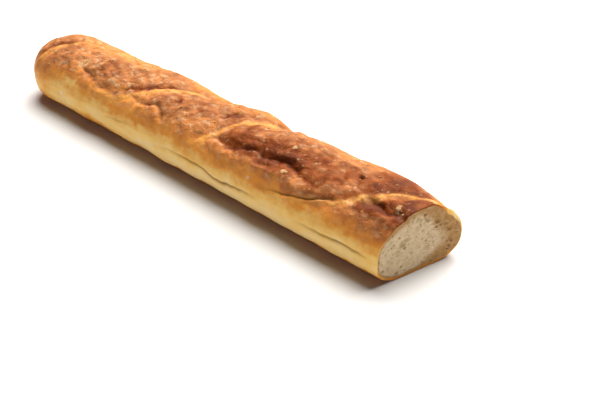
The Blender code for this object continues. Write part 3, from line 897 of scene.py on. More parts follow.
def wrapped_map(mesh, rows, columns, crust_rows, overs):
    """UV map that rolls the crust out flat in two halves side by side, with the rim above them."""
    points = corner_points(mesh)
    face_of = corner_faces(mesh)
    pole = points >= rows * columns
    row = points // columns
    first_row = np.full(len(mesh.polygons), rows)
    np.minimum.at(first_row, face_of, np.where(pole, rows - 1, row))
    first_row = first_row[face_of]
    row = np.where(points == rows * columns, -1.0, np.where(pole, float(rows), row))

    girth = overs[-1] - overs[0] + (overs[-1] - overs[-2])
    ring = np.append(overs, overs[0] + girth)
    column = columns_past_seam(points % columns, columns, pole, face_of)
    round_girth = (np.interp(column, np.arange(columns + 1), ring) - overs[0]) / girth

    first_crust = rows - crust_rows
    half = first_crust + crust_rows // 2
    rim = first_row < first_crust
    second = first_row >= half
    along = np.where(second, (row - half) / (rows - half), (row - first_crust) / (crust_rows // 2))
    rim_rise = MAP_RIM_START + MAP_RIM_HEIGHT * (row + 1.0) / (first_crust + 1.0)
    rise = MAP_EDGE + np.where(rim, rim_rise, along * MAP_CRUST_HEIGHT)
    across = MAP_EDGE + round_girth * np.where(rim, MAP_RIM_WIDTH, MAP_HALF_WIDTH)
    write_map(mesh, np.column_stack((across + np.where(second, MAP_HALF, 0.0), rise)))


# ---------------------------------------------------------------------------------------------
# Finishes
# ---------------------------------------------------------------------------------------------


def feed(tree, socket, value):
    """Links a socket to another one of the tree, or sets its plain value."""
    if isinstance(value, bpy.types.NodeSocket):
        tree.links.new(value, socket)
    else:
        socket.default_value = value


def add_node(tree, kind, settings, values, output=0):
    """Adds a node, sets it up, then its sockets, and gives one of its outputs."""
    made = tree.nodes.new(kind)
    for key, setting in settings.items():
        setattr(made, key, setting)
    for key, value in values.items():
        feed(tree, made.inputs[key], value)
    return made.outputs[output]


def plain_value(value):
    return value.socket if isinstance(value, Signal) else value


def paint_value(colour):
    """A colour as a socket takes it: a signal's own socket, or a plain colour made opaque."""
    return colour.socket if isinstance(colour, Signal) else (*colour, 1.0)


class Signal:
    """A socket of a finish, so that sums on it are written with Python's own signs."""

    def __init__(self, finish, socket):
        self.finish = finish
        self.socket = socket

    def sum(self, operation, first, second):
        return self.finish.node("ShaderNodeMath", {"operation": operation}, {0: first, 1: second})

    def __add__(self, other):
        return self.sum("ADD", self, other)

    def __radd__(self, other):
        return self.sum("ADD", other, self)

    def __sub__(self, other):
        return self.sum("SUBTRACT", self, other)

    def __rsub__(self, other):
        return self.sum("SUBTRACT", other, self)

    def __mul__(self, other):
        return self.sum("MULTIPLY", self, other)

    def __rmul__(self, other):
        return self.sum("MULTIPLY", other, self)

    def between(self, low, high):
        """0 below low, 1 above high, and eased between them."""
        return self.finish.node("ShaderNodeMapRange", {"interpolation_type": "SMOOTHSTEP"},
                                {0: self, 1: low, 2: high, 3: 0.0, 4: 1.0})


class Finish:
    """A material in the making, round one Principled shader."""

    def __init__(self, name):
        self.material = bpy.data.materials.new(name)
        self.material.use_nodes = True
        self.tree = self.material.node_tree
        self.shader = self.tree.nodes["Principled BSDF"]
        self.place = self.node("ShaderNodeTexCoord", {}, {}, "Object")

    def node(self, kind, settings, values, output=0):
        """Signal of one of the outputs of a new node."""
        fed = {key: plain_value(value) for key, value in values.items()}
        return Signal(self, add_node(self.tree, kind, settings, fed, output))

    def attribute(self, name):
        return self.node("ShaderNodeAttribute", {"attribute_name": name}, {}, "Fac")

    def grain(self, size, detail=2.0, stretch=(1.0, 1.0, 1.0)):
        """Smooth noise from 0 to 1 with grains of a size in metres."""
        scaled = self.node("ShaderNodeVectorMath", {"operation": "MULTIPLY"},
                           {0: self.place, 1: tuple(side / size for side in stretch)})
        return self.node("ShaderNodeTexNoise", {}, {"Vector": scaled, "Scale": 1.0, "Detail": detail})

    def pits(self, size):
        """Distance from the middle of the nearest of many scattered pits."""
        return self.node("ShaderNodeTexVoronoi", {}, {"Vector": self.place, "Scale": 1.0 / size},
                         "Distance")

    def mix(self, share, first, second):
        """Colour that goes from the first to the second by a share."""
        return self.node("ShaderNodeMix", {"data_type": "RGBA"},
                         {0: share, 6: paint_value(first), 7: paint_value(second)}, 2)

    def tint(self, colour, change):
        """Colour made lighter or darker by a value round 1."""
        grey = self.node("ShaderNodeCombineColor", {}, {0: change, 1: change, 2: change})
        return self.node("ShaderNodeMix", {"data_type": "RGBA", "blend_type": "MULTIPLY"},
                         {0: 1.0, 6: paint_value(colour), 7: grey}, 2)

    def ramp(self, value, places, colours):
        """Colour read off a row of colours at their places."""
        read = self.node("ShaderNodeValToRGB", {}, {"Fac": value}, "Color")
        stops = read.socket.node.color_ramp.elements
        while len(stops) < len(places):
            stops.new(1.0)
        for stop, place, colour in zip(stops, places, colours):
            stop.position = place
            stop.color = (*colour, 1.0)
        return read

    def bump(self, height, distance, strength=1.0):
        return self.node("ShaderNodeBump", {}, {"Height": height, "Distance": distance,
                                                "Strength": strength}, "Normal")

    def surface(self, **values):
        """Sets or links the shader's own sockets, with spaces written as underscores."""
        for name, value in values.items():
            feed(self.tree, self.shader.inputs[name.replace("_", " ")], plain_value(value))
        return self.material


# Grains of the crust: size, detail and stretch along each axis, less than 1 drawing them out
MOTTLE = (0.0058, 4.0)
SPECKLE = (0.0019, 3.0)
POWDER = (0.0047, 3.0, (0.8, 1.0, 1.0))
STREAK = (0.0034, 4.0, (0.5, 1.0, 1.0))
SMEAR = (0.0040, 3.0, (0.22, 1.0, 1.0))
FLECK_SPACING = 0.0056
PIT_SPACING = 0.0024

# How browned the crust is where it takes each of its colours, from cream to burnt
BAKING = (0.0, 0.11, 0.24, 0.44, 0.68, 1.0)

# How far the grains change the browning: on calm skin, and what lively skin adds
MOTTLE_BROWNS = (0.08, 0.38)
SPECKLE_BROWNS = (0.05, 0.18)
SMEAR_BROWNS = 0.16
SPECKLE_TINTS = (0.12, 0.24)   # how far the speckle lightens or darkens the finished colour

# How floury the crust is: everywhere, on opened dough, in its powdery patches and in those of dough
FLOURY = (0.17, 0.06, 0.24, 0.34)
POWDERY = (0.50, 0.72)         # range of the powder's noise over which its patches fade in
TOO_BROWN = (0.58, 0.80)       # browning over which the powder gets lost
POWDER_LOST = 0.9

STRIP_SHARE = 0.74             # how strongly the strips' colour shows, and how far that varies
STRIP_SPECKLE = 2.0
WELT_BROKEN = (0.40, 0.64)
WELT_SHARE = 0.30
# How strongly the painted shade along the creases shows
CREASE_SHADE_SHARE = 0.90

DUSTING = (0.36, 0.70)         # amount of flour over which it starts to cover the crust
DUSTING_SHARE = 0.75
DUSTING_SPECKLE = 0.9
DUSTING_MOTTLE = 0.7
RAW_FLOUR_ON = (0.06, 0.40)    # browning over which raw flour gives way to baked flour

FLECK_REACH = (0.06, 0.30)     # how far flecks of flour reach round their middles
FLECK_PATCHES = (0.42, 0.60)
FLECK_SHARE = 0.40
PIT_REACH = (0.05, 0.42)

# Height of the fine relief: speckle and mottle everywhere, pits and streaks on opened dough
FINE_RELIEF = (0.6, 0.4, 0.25, 0.6)
FINE_RELIEF_HEIGHT = 0.0007
BAKED_ROUGHNESS = 0.50
OPENED_ROUGHER = 0.14
STRIP_SMOOTHER = 0.06
MOTTLE_ROUGHER = 0.2
CRUST_SHINE = 0.15


def baked_skin(finish, look, mottle, speckle, lively):
    """Colour of the crust by how browned it is."""
    smear = finish.grain(*SMEAR)
    baked = finish.attribute("browned") + (smear - 0.5) * SMEAR_BROWNS
    baked = baked + (mottle - 0.5) * (MOTTLE_BROWNS[0] + lively * MOTTLE_BROWNS[1])
    baked = baked + (speckle - 0.5) * (SPECKLE_BROWNS[0] + lively * SPECKLE_BROWNS[1])
    return finish.ramp(baked, BAKING, (look.cream, look.pale, look.golden, look.toasted, look.brown,
                                       look.burnt))


def lined_skin(finish, look, skin, mottle, speckle):
    """The skin with its strips, welts, painted shade along its creases, and the rim of the cut."""
    strip = finish.attribute("strip") * (STRIP_SHARE + (speckle - 0.5) * STRIP_SPECKLE)
    welt = finish.attribute("welt") * mottle.between(*WELT_BROKEN) * WELT_SHARE
    striped = finish.mix(strip, skin, look.strip)
    welted = finish.mix(welt, striped, look.welt)
    crease_shaded = finish.mix(finish.attribute("crease_shade") * CREASE_SHADE_SHARE, welted, look.crease_shade)
    return finish.mix(finish.attribute("rim"), crease_shaded, look.rim)


def dusted_skin(finish, look, skin, mottle, speckle):
    """The skin with patches of flour on it, and flecks of flour on its opened dough."""
    flour = finish.mix(finish.attribute("browned").between(*RAW_FLOUR_ON), look.raw_flour, look.flour)
    powder = finish.attribute("flour") + (speckle - 0.5) * DUSTING_SPECKLE + (mottle - 0.5) * DUSTING_MOTTLE
    dusted = finish.mix(powder.between(*DUSTING) * DUSTING_SHARE, skin, flour)
    fleck = 1.0 - finish.pits(FLECK_SPACING).between(*FLECK_REACH)
    flecks = fleck * finish.attribute("opened") * mottle.between(*FLECK_PATCHES) * FLECK_SHARE
    return finish.mix(flecks, dusted, look.flour)


def crust_finish(look):
    finish = Finish("baked crust")
    mottle = finish.grain(*MOTTLE)
    speckle = finish.grain(*SPECKLE)
    opened = finish.attribute("opened")
    lively = finish.attribute("lively")
    everywhere, on_dough, in_patches, in_dough_patches = FLOURY
    patches = finish.grain(*POWDER).between(*POWDERY) * (in_patches + opened * in_dough_patches)
    floury = lively * (everywhere + opened * on_dough + patches)
    shown = 1.0 - finish.attribute("browned").between(*TOO_BROWN) * POWDER_LOST
    skin = baked_skin(finish, look, mottle, speckle, lively)
    swollen = finish.mix(floury * shown, skin, look.dusty)
    lined = lined_skin(finish, look, swollen, mottle, speckle)
    dusted = dusted_skin(finish, look, lined, mottle, speckle)
    colour = finish.tint(dusted, 1.0 + (speckle - 0.5) * (SPECKLE_TINTS[0] + opened * SPECKLE_TINTS[1]))
    by_speckle, by_mottle, by_pits, by_streaks = FINE_RELIEF
    on_dough = finish.pits(PIT_SPACING).between(*PIT_REACH) * by_pits + finish.grain(*STREAK) * by_streaks
    relief = speckle * by_speckle + mottle * by_mottle + opened * on_dough
    roughness = BAKED_ROUGHNESS + opened * OPENED_ROUGHER - finish.attribute("strip") * STRIP_SMOOTHER
    roughness = roughness + (mottle - 0.5) * MOTTLE_ROUGHER
    return finish.surface(Base_Color=colour, Roughness=roughness,
                          Normal=finish.bump(relief, FINE_RELIEF_HEIGHT),
                          Specular_IOR_Level=CRUST_SHINE, Specular_Tint=(*look.sheen, 1.0))


# The crumb: size of its clouds and of its finest grain, spacing of its cells and of its larger holes
CLOUD = (0.0042, 2.0)
FINE_CRUMB = (0.0009, 3.0)
CELL_SPACING = 0.0022
HOLE_SPACING = 0.0052

CLOUDS = (0.35, 0.65)          # range of the clouds' noise over which they fade in
CLOUD_SHARE = 0.50
HOLE_REACH = (0.12, 0.38)      # how far the shade of a hole reaches round its middle
HOLE_SHADE_SHARE = 0.52
CELL_REACH = (0.08, 0.40)
CELL_SHADE_SHARE = 0.34
PORE_DARKENS = (0.04, 0.70)    # depth over which the pores go dark with painted shade, as a share of the deepest
PORE_SHADE_SHARE = 0.85
BY_CRUST_SHARE = (0.74, 0.24)  # how far the crumb by the crust is browned, and on the far side shaded, and how far clouds add to it
BY_CRUST_CLOUDS = (0.3, 0.7)
FINE_TINT = 0.25               # how far the fine grain lightens or darkens the finished colour
CRUMB_ROUGHNESS = 0.80
FINE_ROUGHER = 0.2
CRUMB_RELIEF = (0.5, 0.8)      # height of the fine grain and of the cells' walls
CRUMB_RELIEF_HEIGHT = 0.00035
CRUMB_SHINE = 0.25


def crumb_finish(look):
    finish = Finish("open crumb")
    cloud = finish.grain(*CLOUD)
    fine = finish.grain(*FINE_CRUMB)
    cells = finish.pits(CELL_SPACING)
    bread = finish.mix(cloud.between(*CLOUDS) * CLOUD_SHARE, look.colour, look.deep)
    # Painted shade in the crumb's holes, cells and pores
    hole_shade = 1.0 - finish.pits(HOLE_SPACING).between(*HOLE_REACH)
    hole_shaded = finish.mix(hole_shade * HOLE_SHADE_SHARE, bread, look.shade)
    cell_shaded = finish.mix((1.0 - cells.between(*CELL_REACH)) * CELL_SHADE_SHARE, hole_shaded, look.shade)
    pore_shaded = finish.mix(finish.attribute("pore").between(*PORE_DARKENS) * PORE_SHADE_SHARE, cell_shaded, look.hollow)
    # The band by the crust, browned all round and painted shade on the far side
    browned = BY_CRUST_SHARE[0] + cloud.between(*BY_CRUST_CLOUDS) * BY_CRUST_SHARE[1]
    near_crust_and_shade = finish.mix(finish.attribute("near crust and shade") * browned, pore_shaded, look.edge)
    relief = fine * CRUMB_RELIEF[0] + cells.between(0.0, 0.5) * CRUMB_RELIEF[1]
    return finish.surface(Base_Color=finish.tint(near_crust_and_shade, 1.0 + (fine - 0.5) * FINE_TINT),
                          Roughness=CRUMB_ROUGHNESS + (fine - 0.5) * FINE_ROUGHER,
                          Normal=finish.bump(relief, CRUMB_RELIEF_HEIGHT, 0.8),
                          Specular_IOR_Level=CRUMB_SHINE)


FLECK_ROUGHNESS = 0.85
FLECK_ROUGHER = 0.2
FLECK_RELIEF_HEIGHT = 0.0002
FLECK_SHINE = 0.2


def fleck_finish(name, light, dark, size):
    finish = Finish(name)
    shade = finish.grain(size)
    colour = finish.mix(shade.between(*CLOUDS), dark, light)
    return finish.surface(Base_Color=colour, Roughness=FLECK_ROUGHNESS + (shade - 0.5) * FLECK_ROUGHER,
                          Normal=finish.bump(shade, FLECK_RELIEF_HEIGHT, 0.5),
                          Specular_IOR_Level=FLECK_SHINE)


FLOOR_CLOUD = 0.35             # size of the floor's faint clouds, and how far they change its colour
FLOOR_CLOUD_TINT = 0.02
FLOOR_ROUGHNESS = 0.9
FLOOR_SHINE = 0.1


def floor_finish(look):
    finish = Finish("studio floor")
    cloud = (finish.grain(FLOOR_CLOUD) - 0.5) * FLOOR_CLOUD_TINT
    return finish.surface(Base_Color=finish.tint(look.floor_colour, 1.0 + cloud),
                          Roughness=FLOOR_ROUGHNESS, Specular_IOR_Level=FLOOR_SHINE)


# ---------------------------------------------------------------------------------------------
# Pieces
# ---------------------------------------------------------------------------------------------

RIM_SHARES = (0.12, 0.45, 0.8, 1.0)      # rings across the crust's thickness at the cut
RIM_SHOWN = (0.0, 0.15, 0.40)            # how much of the rim's colour the outer rings take
RIM_FULL = 0.70                          # and how much the rings within them take
RIM_OFF_FOR_SHOULDER_HIGHLIGHT = 0.9                    # how far the far shoulder and the pale side do without it, which leaves a painted highlight on the shoulder
RIM_ON_PALE_SIDE = 0.8
RECESS_SHARES = (0.35, 0.7, 1.0)         # rings down the wall behind the cut
CAP_SHARES = (0.8, 0.55, 0.3)            # rings from that wall to the middle
RIM_WORN = 0.0004                        # how far the crust's outer edge is worn back
RIM_PATCH = 0.003                        # size of the places where it is worn more or less
RIM_VARIES = 0.6
SHOULDER_BENT = 0.0013                   # how much further it is bent back on the far shoulder
BENT_LENGTH = 0.0060                     # length of the crust that bends with it


def rows_behind(outline, inner, depth, shoulder, move):
    """Rings from the middle of the hollow at the cut end out to the crust's edge, and that middle."""
    bent = np.zeros(outline.shape)
    bent[:, 0] = SHOULDER_BENT * shoulder
    rim = [on_cut(outline + (inner - outline) * share, move) - bent * (1.0 - share)
           for share in RIM_SHARES]
    recess = [inner - np.array((depth * share, 0.0, 0.0)) for share in RECESS_SHARES]
    middle = recess[-1].mean(axis=0)
    cap = [middle + (recess[-1] - middle) * share for share in CAP_SHARES]
    return np.array(cap[::-1] + recess[::-1] + rim[::-1]), middle


def add_crust(look):
    plain, field, overs, tip, move = loaf(look.station_step, look.column_step)
    outline = plain[0].copy()
    shoulder = on_shoulder(overs)
    inner = on_cut(inset_edge(outline, overs, look.thickness), move)
    behind, middle = rows_behind(outline, inner, look.recess, shoulder, move)
    points = plain.copy()
    points[0, :, 0] -= RIM_WORN * (1.0 + RIM_VARIES * rough(outline, RIM_PATCH, SEEDS["worn edge"]))
    bend = np.clip(1.0 - station_backs(look.station_step) / BENT_LENGTH, 0.0, 1.0)
    points[..., 0] -= SHOULDER_BENT * bend[:, None] * shoulder
    rows = np.concatenate((behind, points))
    mesh = closed_tube("crust", rows, middle, tip)
    blank = np.zeros(behind.shape[:2])
    # The cut edge's browning, pale on the far shoulder as a painted highlight
    edge = np.broadcast_to(eased(RIM_BROWNING_AND_HIGHLIGHT, overs), blank.shape)
    write_attribute(mesh, "browned", edge, field.browned)
    for name in ("opened", "strip", "crease_shade", "flour", "welt", "lively"):
        write_attribute(mesh, name, blank, getattr(field, name))
    rim = blank + RIM_FULL
    rim[-len(RIM_SHOWN):] = np.array(RIM_SHOWN[::-1])[:, None]
    # On the far shoulder the rim's colour gives way to that pale edge, a painted highlight
    rim *= 1.0 - RIM_OFF_FOR_SHOULDER_HIGHLIGHT * shoulder - RIM_ON_PALE_SIDE * on_pale_side(overs)
    write_attribute(mesh, "rim", rim, np.zeros(field.browned.shape))
    wrapped_map(mesh, len(rows), len(overs), len(points), overs)
    mesh.materials.append(crust_finish(look))
    crust = new_piece("crust", mesh)
    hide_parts(LOAF_NODE)


def even_outline(edge, count, grow):
    """The inner edge shared out evenly, a little larger so that it presses into the crust."""
    closed = np.vstack((edge, edge[:1]))
    walked = np.concatenate(([0.0], np.cumsum(np.linalg.norm(np.diff(closed, axis=0), axis=1))))
    places = np.arange(count) / count * walked[-1]
    even = np.column_stack([np.interp(places, walked, closed[:, axis]) for axis in range(3)])
    middle = even.mean(axis=0)
    reach = np.linalg.norm((even - middle)[:, 1:], axis=1, keepdims=True)
    return middle + (even - middle) * (1.0 + grow / reach), middle


PORE_LONG = (1.2, 1.5)         # length of a named pore, as a share of its radius
PORE_SHORT = (0.9, 1.1)
PORE_TURN = (-0.5, 0.5)
PORE_OPEN = 0.45               # share of its depth that is left open
PORE_ROUNDNESS = 0.7           # less makes the floor of a pore flatter
SMALL_PORE = 0.00030           # least radius of the small pores
SMALL_PORE_DRAW = (0.02, 1.0)  # the draw whose power makes a few of them much larger
SMALL_PORE_POWER = -0.40
SMALL_PORE_LONG = (1.0, 1.35)
SMALL_PORE_DEPTH = (0.3, 0.9)  # as a share of the radius
SMALL_PORE_DEEPEST = 0.0016


def pore_list(look, low, high):
    """The named pores and a scatter of small ones: (across, height, long, short, turn, depth)."""
    dice = np.random.default_rng(look.seed)
    pores = [(across, height, radius * dice.uniform(*PORE_LONG), radius * dice.uniform(*PORE_SHORT),
              dice.uniform(*PORE_TURN), depth * PORE_OPEN) for across, height, radius, depth in PORES]
    for _ in range(look.pores):
        across = dice.uniform(low[0], high[0])
        height = dice.uniform(low[1], high[1])
        radius = SMALL_PORE * dice.uniform(*SMALL_PORE_DRAW) ** SMALL_PORE_POWER
        aspect = dice.uniform(*SMALL_PORE_LONG)
        turn = dice.uniform(0.0, math.pi)
        depth = min(radius * dice.uniform(*SMALL_PORE_DEPTH), SMALL_PORE_DEEPEST)
        pores.append((across, height, radius * aspect ** 0.5, radius / aspect ** 0.5, turn, depth))
    return pores


def sink_pores(across, height, pores):
    """Depth of the crumb below the cut at each point."""
    sunk = np.zeros(across.shape)
    for place, rise, length, width, turn, depth in pores:
        reach = max(length, width)
        near = (np.abs(across - place) < reach) & (np.abs(height - rise) < reach)
        if not near.any():
            continue
        along_x = (across[near] - place) * math.cos(turn) + (height[near] - rise) * math.sin(turn)
        along_y = (height[near] - rise) * math.cos(turn) - (across[near] - place) * math.sin(turn)
        inside = np.clip(1.0 - (along_x / length) ** 2 - (along_y / width) ** 2, 0.0, 1.0)
        sunk[near] = np.maximum(sunk[near], depth * inside ** PORE_ROUNDNESS)
    return sunk


PLUG_SHARES = (1.0, 0.66, 0.33)          # rings along the plug's side, from its back to its face
PLUG_MAP_SHARES = (1.10, 1.07, 1.035)    # how far out the map lays them
CRUMB_MAP_MARGIN = 1.25
PORE_MARGIN = 0.0016                     # width by the crust over which the pores run out
CRUMB_MARGIN = 0.0012                    # width by the crust over which the ripples run out
CRUMB_SET_BACK = 0.0001
RIPPLES = ((0.0030, 0.00022), (0.0011, 0.00012))     # size and height of each wave of the crumb
DEEPEST_PORE = 0.0020

# Where the crumb by the crust is denser and browner: all round, more so on top, and on the far side in a
# wider band that is painted shade from the slices left out
DENSE_WIDTH = 0.0024
FAR_START = -0.004                       # place across from which the far side starts
FAR_FADE = 0.026
FAR_SHADE_WIDTH = 0.0075
FAR_SHADE_FADE = 0.0145
FAR_SHADE_PATCH = 0.0065                     # size and reach of the waves of its edge there
FAR_SHADE_WAVE = 0.0026
TOP_START = 0.028                        # height from which the top starts
TOP_FADE = 0.014
TOP_DENSE_FADE = 0.0056


def dense_and_shaded_crumb(face, across, height, inward):
    """How dense and brown the crumb is at each of its points, from 1 at the crust to 0, with painted shade
    widening the band on the far side.
    """
    far = smooth_step((across - FAR_START) / FAR_FADE)
    top = smooth_step((height - TOP_START) / TOP_FADE)
    ragged = inward + FAR_SHADE_WAVE * rough(face, FAR_SHADE_PATCH, SEEDS["shaded crumb"]) * far
    fade = DENSE_WIDTH + FAR_SHADE_FADE * far + TOP_DENSE_FADE * top
    return 1.0 - smooth_step((ragged - FAR_SHADE_WIDTH * far) / fade)


def crumb_map(mesh, rows, columns):
    """UV map that shows the crumb's face from the front, with the plug's side laid out round it."""
    flat = rows.reshape(-1, 3)[:, 1:]
    wide = max(np.ptp(flat[:, 0]), np.ptp(flat[:, 1])) * CRUMB_MAP_MARGIN
    centre = (flat.min(axis=0) + flat.max(axis=0)) / 2.0
    outer = np.ones(rows.shape[:2])
    outer[:len(PLUG_MAP_SHARES)] = np.array(PLUG_MAP_SHARES)[:, None]
    points = 0.5 + (flat - centre) / wide * outer.reshape(-1, 1)
    middle = 0.5 + (flat[-columns:].mean(axis=0) - centre) / wide
    write_map(mesh, np.vstack((points, middle, middle))[corner_points(mesh)])


def add_crumb(look, crust_look):
    points, _, overs, _, move = loaf(crust_look.station_step, crust_look.column_step)
    inner = on_cut(inset_edge(points[0], overs, crust_look.thickness), move)
    edge, middle = even_outline(inner, look.columns, look.press)
    edge = on_cut(edge, move)
    shares = 1.0 - np.arange(look.rings) / look.rings
    face = middle + (edge - middle) * shares[:, None, None]
    across = face[..., 1] - move[1]
    height = face[..., 2]
    pores = pore_list(look, (across.min(), height.min()), (across.max(), height.max()))
    inward = np.linalg.norm((edge - middle)[:, 1:], axis=1) * (1.0 - shares[:, None])
    sunk = sink_pores(across, height, pores) * smooth_step(inward / PORE_MARGIN)
    ripple = sum(reach * rough(face, size, SEEDS["ripple"] + number)
                 for number, (size, reach) in enumerate(RIPPLES))
    face = on_cut(face, move)
    face[..., 0] += (ripple - sunk) * smooth_step(inward / CRUMB_MARGIN) - CRUMB_SET_BACK
    wall = np.array([edge - np.array((look.depth * share, 0.0, 0.0)) for share in PLUG_SHARES])
    rows = np.concatenate((wall, face))
    mesh = closed_tube("crumb", rows, wall[0].mean(axis=0), face[-1].mean(axis=0))
    blank = np.zeros(wall.shape[:2])
    write_attribute(mesh, "pore", blank, sunk / DEEPEST_PORE)
    write_attribute(mesh, "near crust and shade", blank, dense_and_shaded_crumb(face, across, height, inward))
    crumb_map(mesh, rows, look.columns)
    mesh.materials.append(crumb_finish(look))
    crumb = new_piece("crumb", mesh)
    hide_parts(LOAF_NODE)


STREWING_INPUTS = (("Geometry", "NodeSocketGeometry"), ("Where", "NodeSocketString"),
                   ("Density", "NodeSocketFloat"), ("Size", "NodeSocketFloat"),
                   ("Flatness", "NodeSocketFloat"), ("Seed", "NodeSocketInt"),
                   ("Finish", "NodeSocketMaterial"))
LUMP_LEAST = (0.45, 0.45, 0.7)           # least and most size of a strewn lump, as shares of its width
LUMP_MOST = (1.5, 1.2, 1.3)
LUMP_LEAN = 0.25                         # how far a lump leans off the crust, in radians
LUMP_TURN = 3.1                          # and how far it turns on it
LUMP_ROUNDS = 2                          # times that a lump's faces are split to round it
DENTS = 1600.0                           # dents along a metre of a lump's surface


def scatter_tree():
    """Geometry nodes that strew small lumps over a mesh where one of its attributes is high."""
    tree = bpy.data.node_groups.new("strewn lumps", "GeometryNodeTree")
    for name, kind in STREWING_INPUTS:
        tree.interface.new_socket(name, in_out="INPUT", socket_type=kind)
    tree.interface.new_socket("Geometry", in_out="OUTPUT", socket_type="NodeSocketGeometry")
    given = tree.nodes.new("NodeGroupInput").outputs
    add = functools.partial(add_node, tree)

    where = add("GeometryNodeInputNamedAttribute", {"data_type": "FLOAT"}, {"Name": given["Where"]},
                "Attribute")
    density = add("ShaderNodeMath", {"operation": "MULTIPLY"}, {0: where, 1: given["Density"]})
    places = add("GeometryNodeDistributePointsOnFaces", {"distribute_method": "RANDOM"},
                 {"Mesh": given["Geometry"], "Density": density, "Seed": given["Seed"]}, "Points")
    radius = add("ShaderNodeMath", {"operation": "MULTIPLY"}, {0: given["Size"], 1: 0.5})
    lump = add("GeometryNodeMeshIcoSphere", {}, {"Subdivisions": LUMP_ROUNDS, "Radius": radius}, "Mesh")
    sizes = add("FunctionNodeRandomValue", {"data_type": "FLOAT_VECTOR"},
                {0: LUMP_LEAST, 1: LUMP_MOST, "Seed": given["Seed"]})
    squash = add("ShaderNodeCombineXYZ", {}, {0: 1.0, 1: 1.0, 2: given["Flatness"]})
    scale = add("ShaderNodeVectorMath", {"operation": "MULTIPLY"}, {0: sizes, 1: squash})
    strewn = add("GeometryNodeInstanceOnPoints", {},
                 {"Points": places, "Instance": lump, "Rotation": places.node.outputs["Rotation"],
                  "Scale": scale}, "Instances")
    turns = add("FunctionNodeRandomValue", {"data_type": "FLOAT_VECTOR"},
                {0: (-LUMP_LEAN, -LUMP_LEAN, -LUMP_TURN), 1: (LUMP_LEAN, LUMP_LEAN, LUMP_TURN),
                 "Seed": given["Seed"]})
    turned = add("GeometryNodeRotateInstances", {}, {"Instances": strewn, "Rotation": turns},
                 "Instances")
    real = add("GeometryNodeRealizeInstances", {}, {"Geometry": turned}, "Geometry")
    dents = add("ShaderNodeTexNoise", {}, {"Scale": DENTS, "Detail": 1.0}, "Color")
    centred = add("ShaderNodeVectorMath", {"operation": "SUBTRACT"}, {0: dents, 1: (0.5, 0.5, 0.5)})
    shift = add("ShaderNodeVectorMath", {"operation": "SCALE"}, {0: centred, "Scale": given["Size"]})
    dented = add("GeometryNodeSetPosition", {}, {"Geometry": real, "Offset": shift}, "Geometry")
    painted = add("GeometryNodeSetMaterial", {}, {"Geometry": dented, "Material": given["Finish"]},
                  "Geometry")
    tree.links.new(painted, tree.nodes.new("NodeGroupOutput").inputs["Geometry"])
    return tree


def add_strewn(name, ground, settings):
    """Piece of small lumps strewn over another piece's mesh."""
    work = bpy.data.objects.new(name + " work", ground.data.copy())
    bpy.context.scene.collection.objects.link(work)
    tree = scatter_tree()
    modifier = work.modifiers.new("strew", "NODES")
    modifier.node_group = tree
    known = {item.name: item.identifier for item in tree.interface.items_tree
             if item.item_type == "SOCKET" and item.in_out == "INPUT"}
    for key, value in settings.items():
        modifier[known[key]] = value
    work.update_tag()
    evaluated = work.evaluated_get(bpy.context.evaluated_depsgraph_get())
    mesh = bpy.data.meshes.new_from_object(evaluated)
    mesh.name = name
    bpy.data.objects.remove(work, do_unlink=True)
    for spare in [layer.name for layer in mesh.attributes
                  if not layer.is_internal and not layer.is_required and layer.name != "material_index"]:
        mesh.attributes.remove(mesh.attributes[spare])
    if len(mesh.polygons) == 0:
        raise RuntimeError("nothing was strewn for " + name)
    mesh.shade_smooth()
    piece = new_piece(name, mesh)
    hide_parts(LOAF_NODE)


FLOUR_FLATNESS = 0.35                    # height of the lumps, as a share of their width
BIT_FLATNESS = 0.55
FLOUR_GRAIN = 0.0012
BIT_GRAIN = 0.0009


def add_flecks(look):
    crust = bpy.data.objects["crust"]
    flour = fleck_finish("flour lumps", look.flour, look.flour_shade, FLOUR_GRAIN)
    bits = fleck_finish("browned bits", look.bit, look.bit_shade, BIT_GRAIN)
    add_strewn("flour", crust, {
        "Where": "flour", "Density": look.flour_density, "Size": look.flour_size,
        "Flatness": FLOUR_FLATNESS, "Seed": look.seed, "Finish": flour})
    add_strewn("browned_bits", crust, {
        "Where": "opened", "Density": look.bit_density, "Size": look.bit_size,
        "Flatness": BIT_FLATNESS, "Seed": look.seed + 1, "Finish": bits})


FLOOR_SQUARES = 8
FLOOR_GAP = 0.0001                       # the floor lies this far below the loaf
FILL_WIDTH = 0.9
SENSOR_WIDTH = 36.0                      # in millimetres, as the lens is
CAMERA_PLACE = (0.5540, -0.4653, 0.4141)
CAMERA_TILT = 58.0                       # degrees up from straight down
CAMERA_TURN = 44.54                      # degrees to the left of straight along +Y
CAMERA_NEAREST = 0.01
CAMERA_FURTHEST = 50.0


def add_floor(look):
    mesh = bpy.data.meshes.new("floor")
    work = bmesh.new()
    bmesh.ops.create_grid(work, x_segments=FLOOR_SQUARES, y_segments=FLOOR_SQUARES,
                          size=look.floor_size / 2.0)
    bmesh.ops.translate(work, verts=work.verts, vec=(0.0, 0.0, -FLOOR_GAP))
    work.to_mesh(mesh)
    work.free()
    mesh.materials.append(floor_finish(look))
    floor = bpy.data.objects.new("floor", mesh)
    bpy.context.scene.collection.objects.link(floor)


def aim_light(light, place):
    """Puts a light at a place and points it at the loaf."""
    lamp = bpy.data.objects.new(light.name, light)
    lamp.location = place
    lamp.rotation_euler = (-Vector(place)).to_track_quat("-Z", "Y").to_euler()
    bpy.context.scene.collection.objects.link(lamp)


